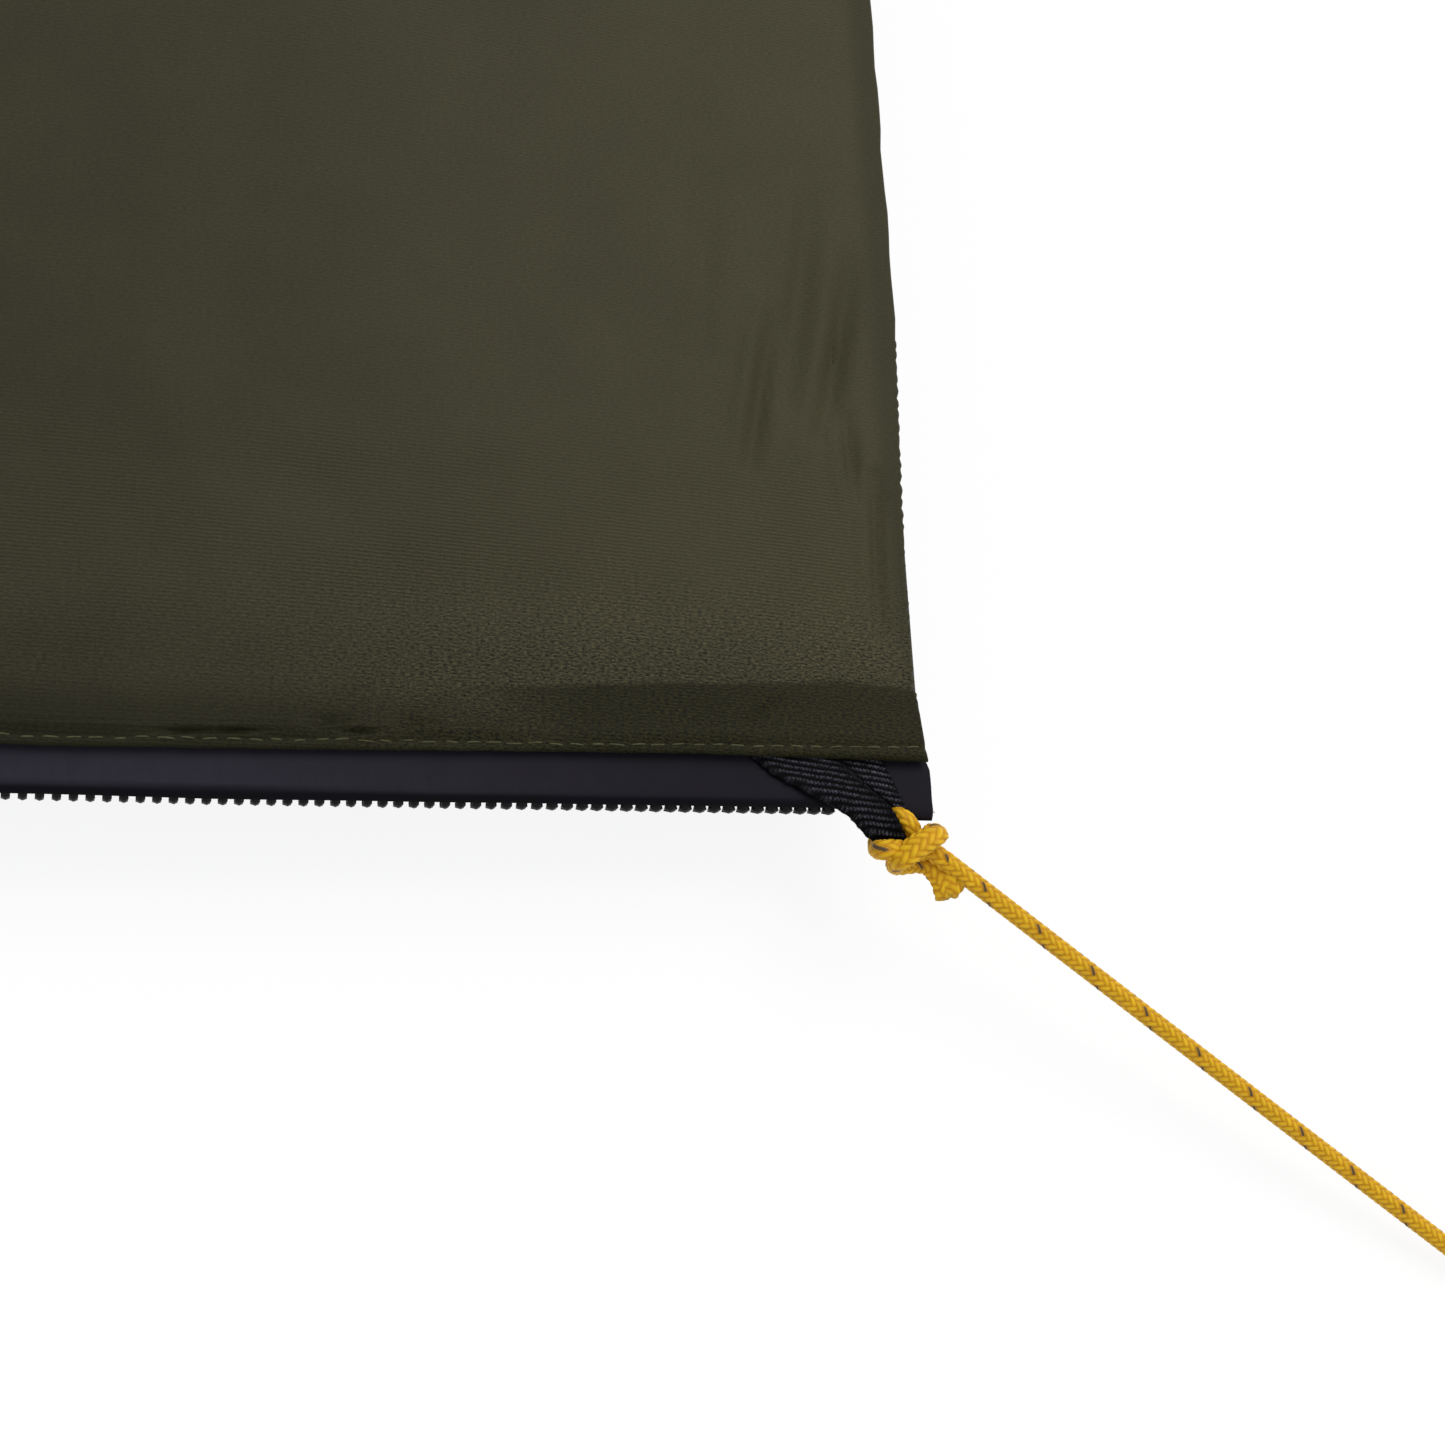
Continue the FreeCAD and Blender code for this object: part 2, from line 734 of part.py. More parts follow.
def make_puller(label, along_foot):
    """A flat tab with a square eye, whose end bar turns under the slider's bridge.

    It lies back over the closed rows on the side zip, and forward on the foot zip.
    """
    way = "" if along_foot else "-"
    body = new_body(label)
    tab = outline(body, "XY_Plane", [
        (f"{way}(-puller_thickness / 2)", "-puller_width / 2"),
        (f"{way}puller_waist", "-puller_width / 2"),
        (f"{way}puller_length", "-puller_tip_width / 2"),
        (f"{way}puller_length", "puller_tip_width / 2"),
        (f"{way}puller_waist", "puller_width / 2"),
        (f"{way}(-puller_thickness / 2)", "puller_width / 2"),
    ], offset="hinge_height - puller_thickness / 2")
    pad(body, tab, "puller_thickness")
    eye = outline(body, "XY_Plane", [
        (f"{way}(puller_thickness / 2)", "-puller_eye_width / 2"),
        (f"{way}(puller_thickness / 2 + puller_eye)", "-puller_eye_width / 2"),
        (f"{way}(puller_thickness / 2 + puller_eye)", "puller_eye_width / 2"),
        (f"{way}(puller_thickness / 2)", "puller_eye_width / 2"),
    ], offset="hinge_height + puller_thickness / 2")
    pocket(body, eye, "puller_thickness")
    grip = outline(body, "XY_Plane", [
        (f"{way}puller_waist", "-grip_width / 2"),
        (f"{way}grip_end", "-grip_tip_width / 2"),
        (f"{way}grip_end", "grip_tip_width / 2"),
        (f"{way}puller_waist", "grip_width / 2"),
    ], offset="hinge_height + puller_thickness / 2")
    pocket(body, grip, "grip_depth")
    tip = size("puller_length")
    tip_half = size("puller_tip_width") / 2
    round_edges(
        body, "puller_corner",
        lambda point: near(abs(point.x), tip) and near(abs(point.y), tip_half),
    )
    place_on_zip(body, along_foot)
    return body


make_slider("foot_zip_slider", True)
make_puller("foot_zip_puller", True)
make_slider("side_zip_slider", False)
make_puller("side_zip_puller", False)


# ---- webbing loops at the corners ----------------------------------------------------


def webbing_loop(label, at_foot, side):
    """Webbing folded flat into a tapering loop, its two legs tucked in against the hem."""
    out = "-" if at_foot else ""
    body = new_body(label)
    middle = f"{'-' if side < 0 else ''}loop_middle"
    plan = outline(body, "XY_Plane", [
        ("-loop_base / 2", f"{out}(-loop_tail)"),
        ("loop_base / 2", f"{out}(-loop_tail)"),
        ("loop_base / 2", "0"),
        ("webbing_leg", f"{out}loop_reach"),
        ("-webbing_leg", f"{out}loop_reach"),
        ("-loop_base / 2", "0"),
    ])
    pad(body, plan, "webbing_thickness")
    eye = outline(body, "XY_Plane", [
        ("-eye_half", f"{out}layer_gap"),
        ("eye_half", f"{out}layer_gap"),
        ("eye_end_half", f"{out}eye_end"),
        ("-eye_end_half", f"{out}eye_end"),
    ], offset="webbing_thickness")
    pocket(body, eye, "webbing_thickness")
    reach = size("loop_reach")
    leg = size("webbing_leg")
    round_edges(
        body, "loop_round",
        lambda point: near(abs(point.y), reach) and near(abs(point.x), leg),
    )
    bind(body, "Placement.Base.x", middle)
    bind(body, "Placement.Base.y", "-half_length" if at_foot else "half_length")
    bind(body, "Placement.Base.z", "hem_high - webbing_thickness" if at_foot else "hem_low")
    return body


# The tied corner: the line draws the loop shut and pulls its tip out past the corner.
tied_loop = new_body("loop_foot_right")
tied_plan = outline(tied_loop, "XY_Plane", [
    ("-loop_base / 2", "loop_tail"),
    ("loop_base / 2", "loop_tail"),
    ("loop_base / 2", "0"),
    ("loop_base / 2 + tied_lean", "-tied_reach"),
    ("loop_base / 2 + tied_lean - tied_tip", "-tied_reach"),
    ("-loop_base / 2", "0"),
])
pad(tied_loop, tied_plan, "webbing_thickness")
bind(tied_loop, "Placement.Base.x", "loop_middle")
bind(tied_loop, "Placement.Base.y", "-half_length")
bind(tied_loop, "Placement.Base.z", "hem_high - webbing_thickness")

webbing_loop("loop_foot_left", True, -1)
webbing_loop("loop_head_right", False, 1)
webbing_loop("loop_head_left", False, -1)


# ---- guy line ------------------------------------------------------------------------


def line_path(route):
    """Straight runs joined by arcs that touch both, and the radius of each arc."""
    points = [FreeCAD.Vector(*point) for point in route]
    edges = []
    radii = []
    start = points[0]
    for before, corner, after in zip(points, points[1:], points[2:]):
        back = (before - corner).normalize()
        on = (after - corner).normalize()
        half_turn = (math.pi - back.getAngle(on)) / 2
        reach = BEND_SHARE * min((before - corner).Length, (after - corner).Length)
        radius = reach / math.tan(half_turn)
        radii.append(radius)
        first = corner + back * reach
        last = corner + on * reach
        centre = corner + (back + on).normalize() * (radius / math.cos(half_turn))
        middle = centre + (corner - centre).normalize() * radius
        edges.append(Part.LineSegment(start, first).toShape())
        edges.append(Part.Arc(first, middle, last).toShape())
        start = last
    edges.append(Part.LineSegment(start, points[-1]).toShape())
    return Part.Wire(edges), radii


def make_guy_line():
    path, radii = line_path(GUY_LINE_ROUTE)
    radius = size("cord_diameter") / 2
    direction = FreeCAD.Vector(*GUY_LINE_ROUTE[1]) - FreeCAD.Vector(*GUY_LINE_ROUTE[0])
    ring = Part.makeCircle(radius, FreeCAD.Vector(*GUY_LINE_ROUTE[0]), direction)
    tube = path.makePipeShell([Part.Wire(ring)], True, True)
    expected = math.pi * radius ** 2 * path.Length
    print("guy line arc radii", [round(r, 1) for r in radii], "length", round(path.Length, 2))
    print("guy line volume", round(tube.Volume, 2), "expected", round(expected, 2))
    return tube


def knot_shape(centre, length, width, height):
    """A knot's outer form: a barrel with flat sides that narrows towards both ends."""
    rings = []
    for along, share in KNOT_RINGS:
        ring = []
        for side in range(KNOT_SIDES):
            angle = 2 * math.pi * (side + 0.5) / KNOT_SIDES
            reach = share / math.cos(math.pi / KNOT_SIDES) / 2
            ring.append(FreeCAD.Vector(
                along * length,
                width * reach * math.cos(angle),
                height * reach * math.sin(angle),
            ))
        rings.append(ring)
    faces = [flat_face(rings[0]), flat_face(rings[-1])]
    for ring, following in zip(rings, rings[1:]):
        for side in range(KNOT_SIDES):
            beside = (side + 1) % KNOT_SIDES
            faces.append(flat_face([
                ring[side], ring[beside], following[beside], following[side],
            ]))
    shell = Part.Shell(faces)
    shell.sewShape()
    shape = Part.Solid(shell)
    run = FreeCAD.Vector(*GUY_LINE_ROUTE[2]) - FreeCAD.Vector(*GUY_LINE_ROUTE[0])
    turn = math.degrees(math.atan2(run.y, run.x))
    shape.Placement = FreeCAD.Placement(
        FreeCAD.Vector(*centre), FreeCAD.Rotation(FreeCAD.Vector(0, 0, 1), turn)
    )
    return shape


def make_end_loop():
    """The fixed loop at the far end: its knot, and the loop of cord flat on the ground."""
    run = FreeCAD.Vector(*GUY_LINE_ROUTE[2]) - FreeCAD.Vector(*GUY_LINE_ROUTE[1])
    run.z = 0
    centre = FreeCAD.Vector(*END_KNOT) + run.normalize() * size("end_loop_radius")
    centre.z = 0
    discs = []
    for reach in (0.5, -0.5):
        corners = []
        for side in range(END_LOOP_SIDES):
            angle = 2 * math.pi * side / END_LOOP_SIDES
            outwards = FreeCAD.Vector(math.cos(angle), math.sin(angle), 0)
            radius = size("end_loop_radius") + reach * size("cord_diameter")
            corners.append(centre + outwards * radius)
        discs.append(flat_face(corners).extrude(FreeCAD.Vector(0, 0, size("cord_diameter"))))
    ring = discs[0].cut(discs[1])
    barrel = knot_shape(
        END_KNOT, size("end_knot_length"), size("end_knot_width"), size("end_knot_height")
    )
    return barrel.fuse(ring)


free_shape("guy_line", make_guy_line())
free_shape("guy_line_knot", knot_shape(
    CORNER_KNOT, size("knot_length"), size("knot_width"), size("knot_height")
))
free_shape("guy_line_end_loop", make_end_loop())


# ---- test and write ------------------------------------------------------------------

doc.recompute()
for thing in doc.Objects:
    if "Invalid" in thing.State or "Error" in thing.State:
        raise RuntimeError(f"{thing.Label} did not build: {thing.State}")
for piece in finished:
    if piece.Shape.isNull() or not piece.Shape.isValid() or not piece.Shape.Solids:
        raise RuntimeError(f"{piece.Label} has no sound solid")

os.makedirs("parts", exist_ok=True)
for piece in finished:
    piece.Shape.exportStep(os.path.join("parts", piece.Label + ".step"))
print(len(finished), "pieces written")
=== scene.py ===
import math
import random

import bmesh
import bpy
import numpy as np
from mathutils import Matrix, Vector, noise


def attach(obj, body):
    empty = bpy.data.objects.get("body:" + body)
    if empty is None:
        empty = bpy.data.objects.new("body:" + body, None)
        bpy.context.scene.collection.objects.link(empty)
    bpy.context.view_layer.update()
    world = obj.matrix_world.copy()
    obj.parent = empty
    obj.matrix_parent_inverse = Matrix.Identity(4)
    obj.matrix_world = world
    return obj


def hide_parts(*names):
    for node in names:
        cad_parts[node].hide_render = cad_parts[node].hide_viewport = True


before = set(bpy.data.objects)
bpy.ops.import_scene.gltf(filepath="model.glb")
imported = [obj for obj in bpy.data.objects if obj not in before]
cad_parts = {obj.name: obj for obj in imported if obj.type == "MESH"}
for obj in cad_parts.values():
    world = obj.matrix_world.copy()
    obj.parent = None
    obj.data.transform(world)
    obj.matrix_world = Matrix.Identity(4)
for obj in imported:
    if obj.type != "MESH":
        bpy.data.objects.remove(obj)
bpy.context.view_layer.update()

# ---- the studio ----------------------------------------------------------------------
# The sack lies on a white paper floor, and the camera looks down on the foot end's right
# corner from the left. A wide soft lamp on the head side and an even room light it.

MM = 0.001


def colour(hex_text):
    """A screen colour as the linear numbers that sockets take."""
    parts = [int(hex_text[at:at + 2], 16) / 255 for at in (1, 3, 5)]
    linear = [p / 12.92 if p <= 0.04045 else ((p + 0.055) / 1.055) ** 2.4 for p in parts]
    return (*linear, 1.0)


def add(holder, kind, settings=None, out=0):
    """Adds a node of a kind, or takes one that is there already. Each of its options and
    sockets in the settings gets its value, or a link from the output given. Gives back the
    output that other nodes read."""
    tree = holder.node_tree
    node = tree.nodes.new("ShaderNode" + kind) if isinstance(kind, str) else kind
    for name, value in (settings or {}).items():
        if isinstance(value, bpy.types.NodeSocket):
            tree.links.new(value, node.inputs[name])
        elif isinstance(name, str) and name not in node.inputs:
            setattr(node, name, value)
        else:
            node.inputs[name].default_value = value
    return node.outputs[out] if node.outputs else None


def new_material(name):
    """A new material and its shader, ready for a pattern."""
    material = bpy.data.materials.new(name)
    material.use_nodes = True
    return material, material.node_tree.nodes["Principled BSDF"]


def seen_plainly(holder):
    """1 for what the camera sees directly, in gloss or through something clear."""
    rays = [add(holder, "LightPath", out=f"Is {kind} Ray")
            for kind in ("Camera", "Glossy", "Transmission")]
    either = add(holder, "Math", {"operation": "MAXIMUM", 0: rays[0], 1: rays[1]})
    return add(holder, "Math", {"operation": "MAXIMUM", 0: either, 1: rays[2]})


camera_data = bpy.data.cameras.new("camera")
camera_data.sensor_width = 36
camera_data.lens = 59.8
camera_data.clip_start = 0.01
camera_data.clip_end = 50
camera = bpy.data.objects.new("camera", camera_data)
bpy.context.scene.collection.objects.link(camera)
camera.matrix_world = Matrix((
    (0.95676, -0.03044, -0.28929, 0.27327),
    (-0.04935, 0.96311, -0.26455, -1.18422),
    (0.28667, 0.26738, 0.91996, 0.32797),
    (0, 0, 0, 1),
))
bpy.context.scene.camera = camera

# Bleached paper: matt, and so pale that only a light shadow of the sack shows on it.
paper, shader = new_material("white_paper")
matt = add(paper, shader, {
    "Base Color": colour("#fdfdfd"), "Roughness": 0.95, "Specular IOR Level": 0.1,
})
pale = add(paper, "Emission", {"Color": (1, 1, 1, 1), "Strength": 1.0})
mostly_seen = add(paper, "Math", {"operation": "MULTIPLY", 0: seen_plainly(paper), 1: 0.88})
paler = add(paper, "MixShader", {0: mostly_seen, 1: matt, 2: pale})
add(paper, paper.node_tree.nodes["Material Output"], {"Surface": paler})
bpy.ops.mesh.primitive_plane_add(size=30, location=(0, 0, -0.0004))
floor = bpy.context.object
floor.name = "floor"
floor.data.materials.append(paper)

# The even room. Seen directly or in gloss it is plain white paper as well.
room = bpy.data.worlds.new("room")
bpy.context.scene.world = room
room.use_nodes = True
room.node_tree.nodes.clear()
lit = add(room, "Background", {"Color": (0.93, 0.96, 1.0, 1), "Strength": 0.68})
white = add(room, "Background", {"Color": (1, 1, 1, 1), "Strength": 1})
room_light = add(room, "MixShader", {0: seen_plainly(room), 1: lit, 2: white})
add(room, "OutputWorld", {"Surface": room_light})

lamp_data = bpy.data.lights.new("wide_lamp", "SUN")
lamp_data.energy = 1.55
lamp_data.angle = math.radians(35)
lamp_data.color = (1.0, 0.975, 0.94)
lamp = bpy.data.objects.new("wide_lamp", lamp_data)
bpy.context.scene.collection.objects.link(lamp)
lamp.rotation_euler = Vector((0.26, 0.46, 0.85)).to_track_quat("Z", "Y").to_euler()

bpy.context.scene.view_settings.view_transform = "Standard"


# ---- guy line ------------------------------------------------------------------------
# A 2.5 mm braided polyester cord: eight strands wound each way over a core, two over and two
# under, one of them a dark tracer that shows as short dashes. It runs taut from its knot in
# the webbing loop down to its fixed loop on the ground.

cord_diameter = 2.5
braid_pitch = 10.58
strands_each_way = 8
strand_rise = 0.19
mean_height = 0.35
points_round_cord = 56

guy_line_route = [
    (401.9, -1114.4, 19.3),
    (444.2, -1141.6, 9.9),
    (491.5, -1173.2, 2.1),
]


def points_of(mesh):
    """The places of a mesh's points."""
    return np.array([v.co for v in mesh.vertices], float)


def run_along(line):
    """How far along a line each of its points lies."""
    return np.r_[0, np.cumsum(np.linalg.norm(np.diff(line, axis=0), axis=1))]


def line_through(route, steps):
    """The smooth line of a route's spline, as evenly spaced points in millimetres."""
    curve = bpy.data.curves.new("route", "CURVE")
    curve.dimensions = "3D"
    spline = curve.splines.new("NURBS")
    spline.points.add(len(route) - 1)
    for point, place in zip(spline.points, route):
        point.co = (*place, 1)
    spline.order_u = 3
    spline.use_endpoint_u = True
    spline.resolution_u = 24
    holder = bpy.data.objects.new("route", curve)
    bpy.context.scene.collection.objects.link(holder)
    bpy.context.view_layer.update()
    evaluated = holder.evaluated_get(bpy.context.evaluated_depsgraph_get())
    mesh = bpy.data.meshes.new_from_object(evaluated)
    line = points_of(mesh)
    bpy.data.objects.remove(holder)
    bpy.data.meshes.remove(mesh)
    bpy.data.curves.remove(curve)
    lengths = run_along(line)
    at = np.linspace(0, lengths[-1], steps)
    even = np.stack([np.interp(at, lengths, line[:, axis]) for axis in range(3)], axis=1)
    return even, lengths[-1]


def ease(low, high, values):
    """0 below low, 1 above high, and a smooth rise between them."""
    share = np.clip((values - low) / (high - low), 0, 1)
    return share * share * (3 - 2 * share)


def braid(along, around, start, turn):
    """How high the braid stands, how light each strand is, with painted shade in the grooves and a
    painted highlight on the strand tops, and where the tracer shows.
    """
    n = strands_each_way
    one = n * (around + turn - (along + start) / braid_pitch)
    other = n * (-around - turn - (along + start) / braid_pitch)
    i, j = np.floor(one), np.floor(other)
    fi, fj = one - i, other - j
    phase = np.mod(i - j, 4)
    one_on_top = phase < 2
    place = np.select([phase == 0, phase == 1, phase == 2], [1 + fj, fj, fi], 1 + fi)
    across = np.where(one_on_top, fi, fj)
    height = np.clip(1 - (2 * across - 1) ** 2, 0, 1) ** 0.7 * (1 - 0.6 * abs(place - 1) ** 3)
    picks = random.Random(3)
    lightness = np.array([picks.uniform(0.72, 1.0) for _ in range(2 * n)])
    strand = np.where(one_on_top, np.mod(i, n), n + np.mod(j, n)).astype(int)
    tone = height * lightness[strand]
    own_tracer = ~one_on_top & (np.mod(j, n) == 0)
    tracer = own_tracer * ease(0.36, 0.22, abs(across - 0.5)) * ease(1.0, 0.8, abs(place - 1))
    return height, tone, tracer


def skin(rings, around):
    """The faces over rings of points, with one face over each end."""
    faces = []
    for a in range(0, (rings - 1) * around, around):
        for side in range(around):
            after = (side + 1) % around
            faces.append((a + side, a + after, a + around + after, a + around + side))
    faces.append(tuple(reversed(range(around))))
    faces.append(tuple(range((rings - 1) * around, rings * around)))
    return faces


def piece_of(name, points, faces, flats=None, closed=True):
    """A smooth piece from points in millimetres, with its flat pattern as its UV map. If it is
    closed, its faces are turned outwards."""
    mesh = bpy.data.meshes.new(name)
    mesh.from_pydata((points.reshape(-1, 3) * MM).tolist(), [], faces)
    if flats is not None:
        corners = [corner for face in faces for corner in face]
        layer = mesh.uv_layers.new(name="flat_pattern")
        layer.data.foreach_set("uv", flats.reshape(-1, 2)[corners].astype(np.float32).ravel())
    if closed:
        bm = bmesh.new()
        bm.from_mesh(mesh)
        bmesh.ops.recalc_face_normals(bm, faces=bm.faces)
        bm.to_mesh(mesh)
        bm.free()
    mesh.shade_smooth()
    piece = bpy.data.objects.new(name, mesh)
    bpy.context.scene.collection.objects.link(piece)
    return piece


def mark(piece, label, values):
    """Stores a value at each of a piece's points, for its material to read."""
    layer = piece.data.attributes.new(label, "FLOAT", "POINT")
    layer.data.foreach_set("value", values.reshape(-1).astype(np.float32))


def tube(name, line, radius, wide=1, flat=1, normal=(0, 0, 1), start=0.0, turn=0.0, fray=0.0):
    """A braided cord along a line, with both ends rounded and the last one frayed. wide and
    flat stretch it across and along the given normal."""
    along = run_along(line)
    tangent = np.gradient(line, axis=0)
    tangent /= np.linalg.norm(tangent, axis=1)[:, None]
    up = np.array(normal, float)
    ups = []
    for ahead in tangent:
        up = up - ahead * (up @ ahead)
        up /= np.linalg.norm(up)
        ups.append(up)
    ups = np.array(ups)
    sideways = np.cross(tangent, ups)
    around = np.arange(points_round_cord) / points_round_cord
    cos, sin = np.cos(2 * math.pi * around), np.sin(2 * math.pi * around)
    height, tone, tracer = braid(along[:, None], around[None, :], start, turn)
    reach = radius * (1 + strand_rise * (height - mean_height))
    ends = np.ones(len(line))
    for end in (along, along[-1] - along):
        into_end = 1 - np.clip(end / (radius / 2), 0, 1)
        ends = np.minimum(ends, np.sqrt(np.clip(1 - into_end ** 2, 0.02, 1)))
    reach = reach * ends[:, None]
    picks = random.Random(11)
    loose = np.array([picks.uniform(-1, 1) for _ in around])
    loose = fray * (loose + np.roll(loose, 1) + np.roll(loose, 2)) / 3
    near_end = ease(0.94, 1.0, np.linspace(0, 1, len(line)))[:, None, None]
    outward = sideways[:, None, :] * cos[None, :, None]
    points = (
        line[:, None, :] + near_end * loose[None, :, None] * (tangent[:, None, :] + 0.5 * outward)
        + (reach * np.reshape(wide, (-1, 1)) * cos)[:, :, None] * sideways[:, None, :]
        + (reach * np.reshape(flat, (-1, 1)) * sin)[:, :, None] * ups[:, None, :]
    )
    piece = piece_of(name, points, skin(len(line), points_round_cord))
    mark(piece, "relief", tone)
    mark(piece, "tracer", tracer)
    return piece


line, line_length = line_through(guy_line_route, 1000)
guy_line = tube("guy_line_cord", line, cord_diameter / 2, turn=0.17, start=-1.6)
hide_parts("guy_line")

# The knot at the webbing: the line runs in under the knot, out through the webbing loop and
# round its left leg, and then turns back over itself in a wide band that ends below.
noose_route = [
    (403.6, -1115.5, 18.9), (401.6, -1114.2, 19.2), (399.6, -1112.7, 18.8),
    (397.9, -1111.5, 19.2), (396.9, -1110.1, 20.6), (395.6, -1108.6, 20.4),
    (394.2, -1108.4, 18.0), (394.0, -1109.8, 16.4), (393.4, -1111.6, 16.2),
    (392.9, -1112.8, 17.4), (391.9, -1113.7, 20.9), (393.2, -1113.8, 21.5),
    (395.5, -1113.6, 20.8), (398.0, -1113.6, 18.9), (400.3, -1112.8, 17.6),
    (401.5, -1111.0, 18.0), (400.1, -1111.3, 22.4), (399.0, -1112.1, 23.4),
    (396.8, -1113.5, 23.3), (395.3, -1114.6, 22.7), (394.1, -1115.5, 21.4),
    (395.4, -1115.1, 17.2), (397.2, -1114.8, 16.2), (399.1, -1114.4, 16.5),
    (400.6, -1114.7, 17.2), (401.7, -1115.8, 17.6), (402.6, -1117.0, 17.8),
    (403.2, -1118.2, 17.6), (403.7, -1119.3, 17.2),
]
line, _ = line_through(noose_route, 700)
band = ease(20.5, 22.8, line[:, 2])
tag = ease(0.84, 1.0, np.linspace(0, 1, len(line)))
corner_knot = tube(
    "guy_line_corner_knot", line, cord_diameter / 2 * 1.03,
    wide=1 + 0.36 * band + 0.58 * tag, flat=1 - 0.14 * band - 0.40 * tag,
    normal=(-0.29, -0.26, 0.92), start=4.0, turn=0.2, fray=0.85,
)
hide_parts("guy_line_knot")

# The fixed loop at the far end: the cord turned back on itself and tied off with a few
# turns, lying flat on the ground.
end_loop_route = [
    (491.0, -1172.9, 2.2), (493.5, -1174.6, 3.0), (496.5, -1175.2, 3.2),
    (500.5, -1173.0, 1.5), (506.0, -1172.6, 1.4), (510.8, -1176.8, 1.4),
    (511.2, -1182.6, 1.4), (507.6, -1187.6, 1.4), (501.6, -1189.0, 1.4),
    (496.6, -1185.6, 1.4), (495.2, -1180.4, 1.5), (493.8, -1176.4, 1.7),
    (491.6, -1175.8, 3.2), (492.4, -1172.9, 4.6), (495.2, -1172.6, 3.6),
    (496.2, -1175.6, 1.5), (493.6, -1178.0, 1.9), (491.8, -1176.4, 4.2),
    (494.0, -1173.6, 5.0), (497.2, -1174.4, 3.6), (498.4, -1177.0, 1.6),
]
line, _ = line_through(end_loop_route, 560)
end_loop = tube("guy_line_fixed_loop", line, cord_diameter / 2 * 0.96, start=1.0, turn=0.4)
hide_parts("guy_line_end_loop")

# Dyed polyester sheath, solution-dyed golden yellow, with a soft sheen along the filaments. A
# highlight is painted on the strand tops, and painted shade, deeper and more orange, in the
# grooves between them.
sheath, shader = new_material("dyed_polyester_braid")
groove, dash = (
    add(sheath, "Attribute", {"attribute_name": name}, out="Fac") for name in ("relief", "tracer")
)
place = add(sheath, "TexCoord", out="Object")
# Painted shade in the grooves and a painted highlight on the strand tops, from the braid's height.
shade = add(sheath, "ValToRGB", {"Fac": groove})
deep, strand_highlight = shade.node.color_ramp.elements
deep.position, deep.color = 0.05, colour("#c48006")
strand_highlight.position, strand_highlight.color = 0.95, colour("#f4c31c")
blotch = add(sheath, "TexNoise", {"Scale": 700.0, "Detail": 3.0, "Vector": place})
tint = add(sheath, "Mix", {
    "data_type": "RGBA", "blend_type": "MULTIPLY", "Factor": 0.35, 6: shade, 7: blotch,
}, out=2)
flecked = add(sheath, "Mix", {"data_type": "RGBA", 0: dash, 6: tint, 7: colour("#4f3d2c")}, out=2)
fibres = add(sheath, "TexNoise", {"Scale": 4200.0, "Detail": 2.0, "Vector": place})
fuzz = add(sheath, "Bump", {"Strength": 0.35, "Distance": 0.00008, "Height": fibres})
add(sheath, shader, {
    "Roughness": 0.55, "Sheen Weight": 0.08, "Sheen Roughness": 0.4, "Specular IOR Level": 0.18,
    "Base Color": flecked, "Normal": fuzz,
})
for each in (guy_line, corner_knot, end_loop):
    each.data.materials.append(sheath)
    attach(each, "sack")

path, _ = line_through(guy_line_route, 60)


# ---- top cloth -----------------------------------------------------------------------
# One layer of olive nylon taffeta with a waterproof backing, cut 24 mm larger each way than
# the sack and turned under all round. It lies flat across the foot, lofts towards the head,
# and puckers a little where the stitching draws the foot hem in.

half_width = 400
foot_edge = -1101.5
head_edge = 1100
hem_height = 22
loft = 120
loft_start, loft_run = -1062, 2124
cloth_thickness = 0.35
hem_turn = 12
fold_radius = 0.95
under_drop = 1.9 * fold_radius


def sheet(name, points, flats, thickness, dropped=False, flip=False):
    """A sheet from a grid of points, thickened on its inner side. Its dropped faces stay out."""
    index = np.arange(points[..., 0].size).reshape(points.shape[:2])
    faces = np.stack([index[:-1, :-1], index[:-1, 1:], index[1:, 1:], index[1:, :-1]], axis=-1)
    faces = faces[~np.broadcast_to(dropped, faces.shape[:2])]
    if flip:
        faces = faces[:, ::-1]
    piece = piece_of(name, points, faces.tolist(), flats, closed=False)
    bpy.ops.object.select_all(action="DESELECT")
    bpy.context.view_layer.objects.active = piece
    piece.select_set(True)
    solid = piece.modifiers.new("thickness", "SOLIDIFY")
    solid.thickness = thickness * MM
    solid.offset = -1
    bpy.ops.object.modifier_apply(modifier=solid.name)
    return piece


def ripple(x, y, across, along, seed):
    """Smooth noise between -1 and 1 over a surface, with its lengths in millimetres."""
    flat = np.stack([x / across, y / along], axis=-1).reshape(-1, 2)
    values = [noise.noise(Vector((a, b, seed))) for a, b in flat]
    return np.array(values).reshape(x.shape)


def turned(inner, middle):
    """A turned-under hem from its cut edge to the top of its fold, as (reach, drop) pairs."""
    pairs = [(inner, 2 * fold_radius), ((inner + middle) / 2, 2 * fold_radius)]
    for step in range(7):
        angle = math.pi * (step / 6 - 0.5)
        pairs.append((middle + fold_radius * math.cos(angle),
                      fold_radius * (1 - math.sin(angle))))
    return pairs


def across_hems(low, high, spaces):
    """Places and drops right across a cloth that is turned under at both of its ends."""
    near_hem = [(-reach, drop) for reach, drop in turned(-low - hem_turn, -low - 1.0)]
    far_hem = turned(high - hem_turn, high - 1.0)
    return np.array(near_hem + [(space, 0) for space in spaces] + far_hem[::-1]).T


def tucked(along, crossing_drop, low, high):
    """Places along one hem, drawn in behind the hem that crosses it, so the corner is round."""
    inner = np.clip(along, low, high)
    lower = np.clip(crossing_drop / fold_radius - 1, 0, 1)
    return inner + np.sqrt(np.clip(1 - lower ** 2, 0.015, 1)) * (along - inner)


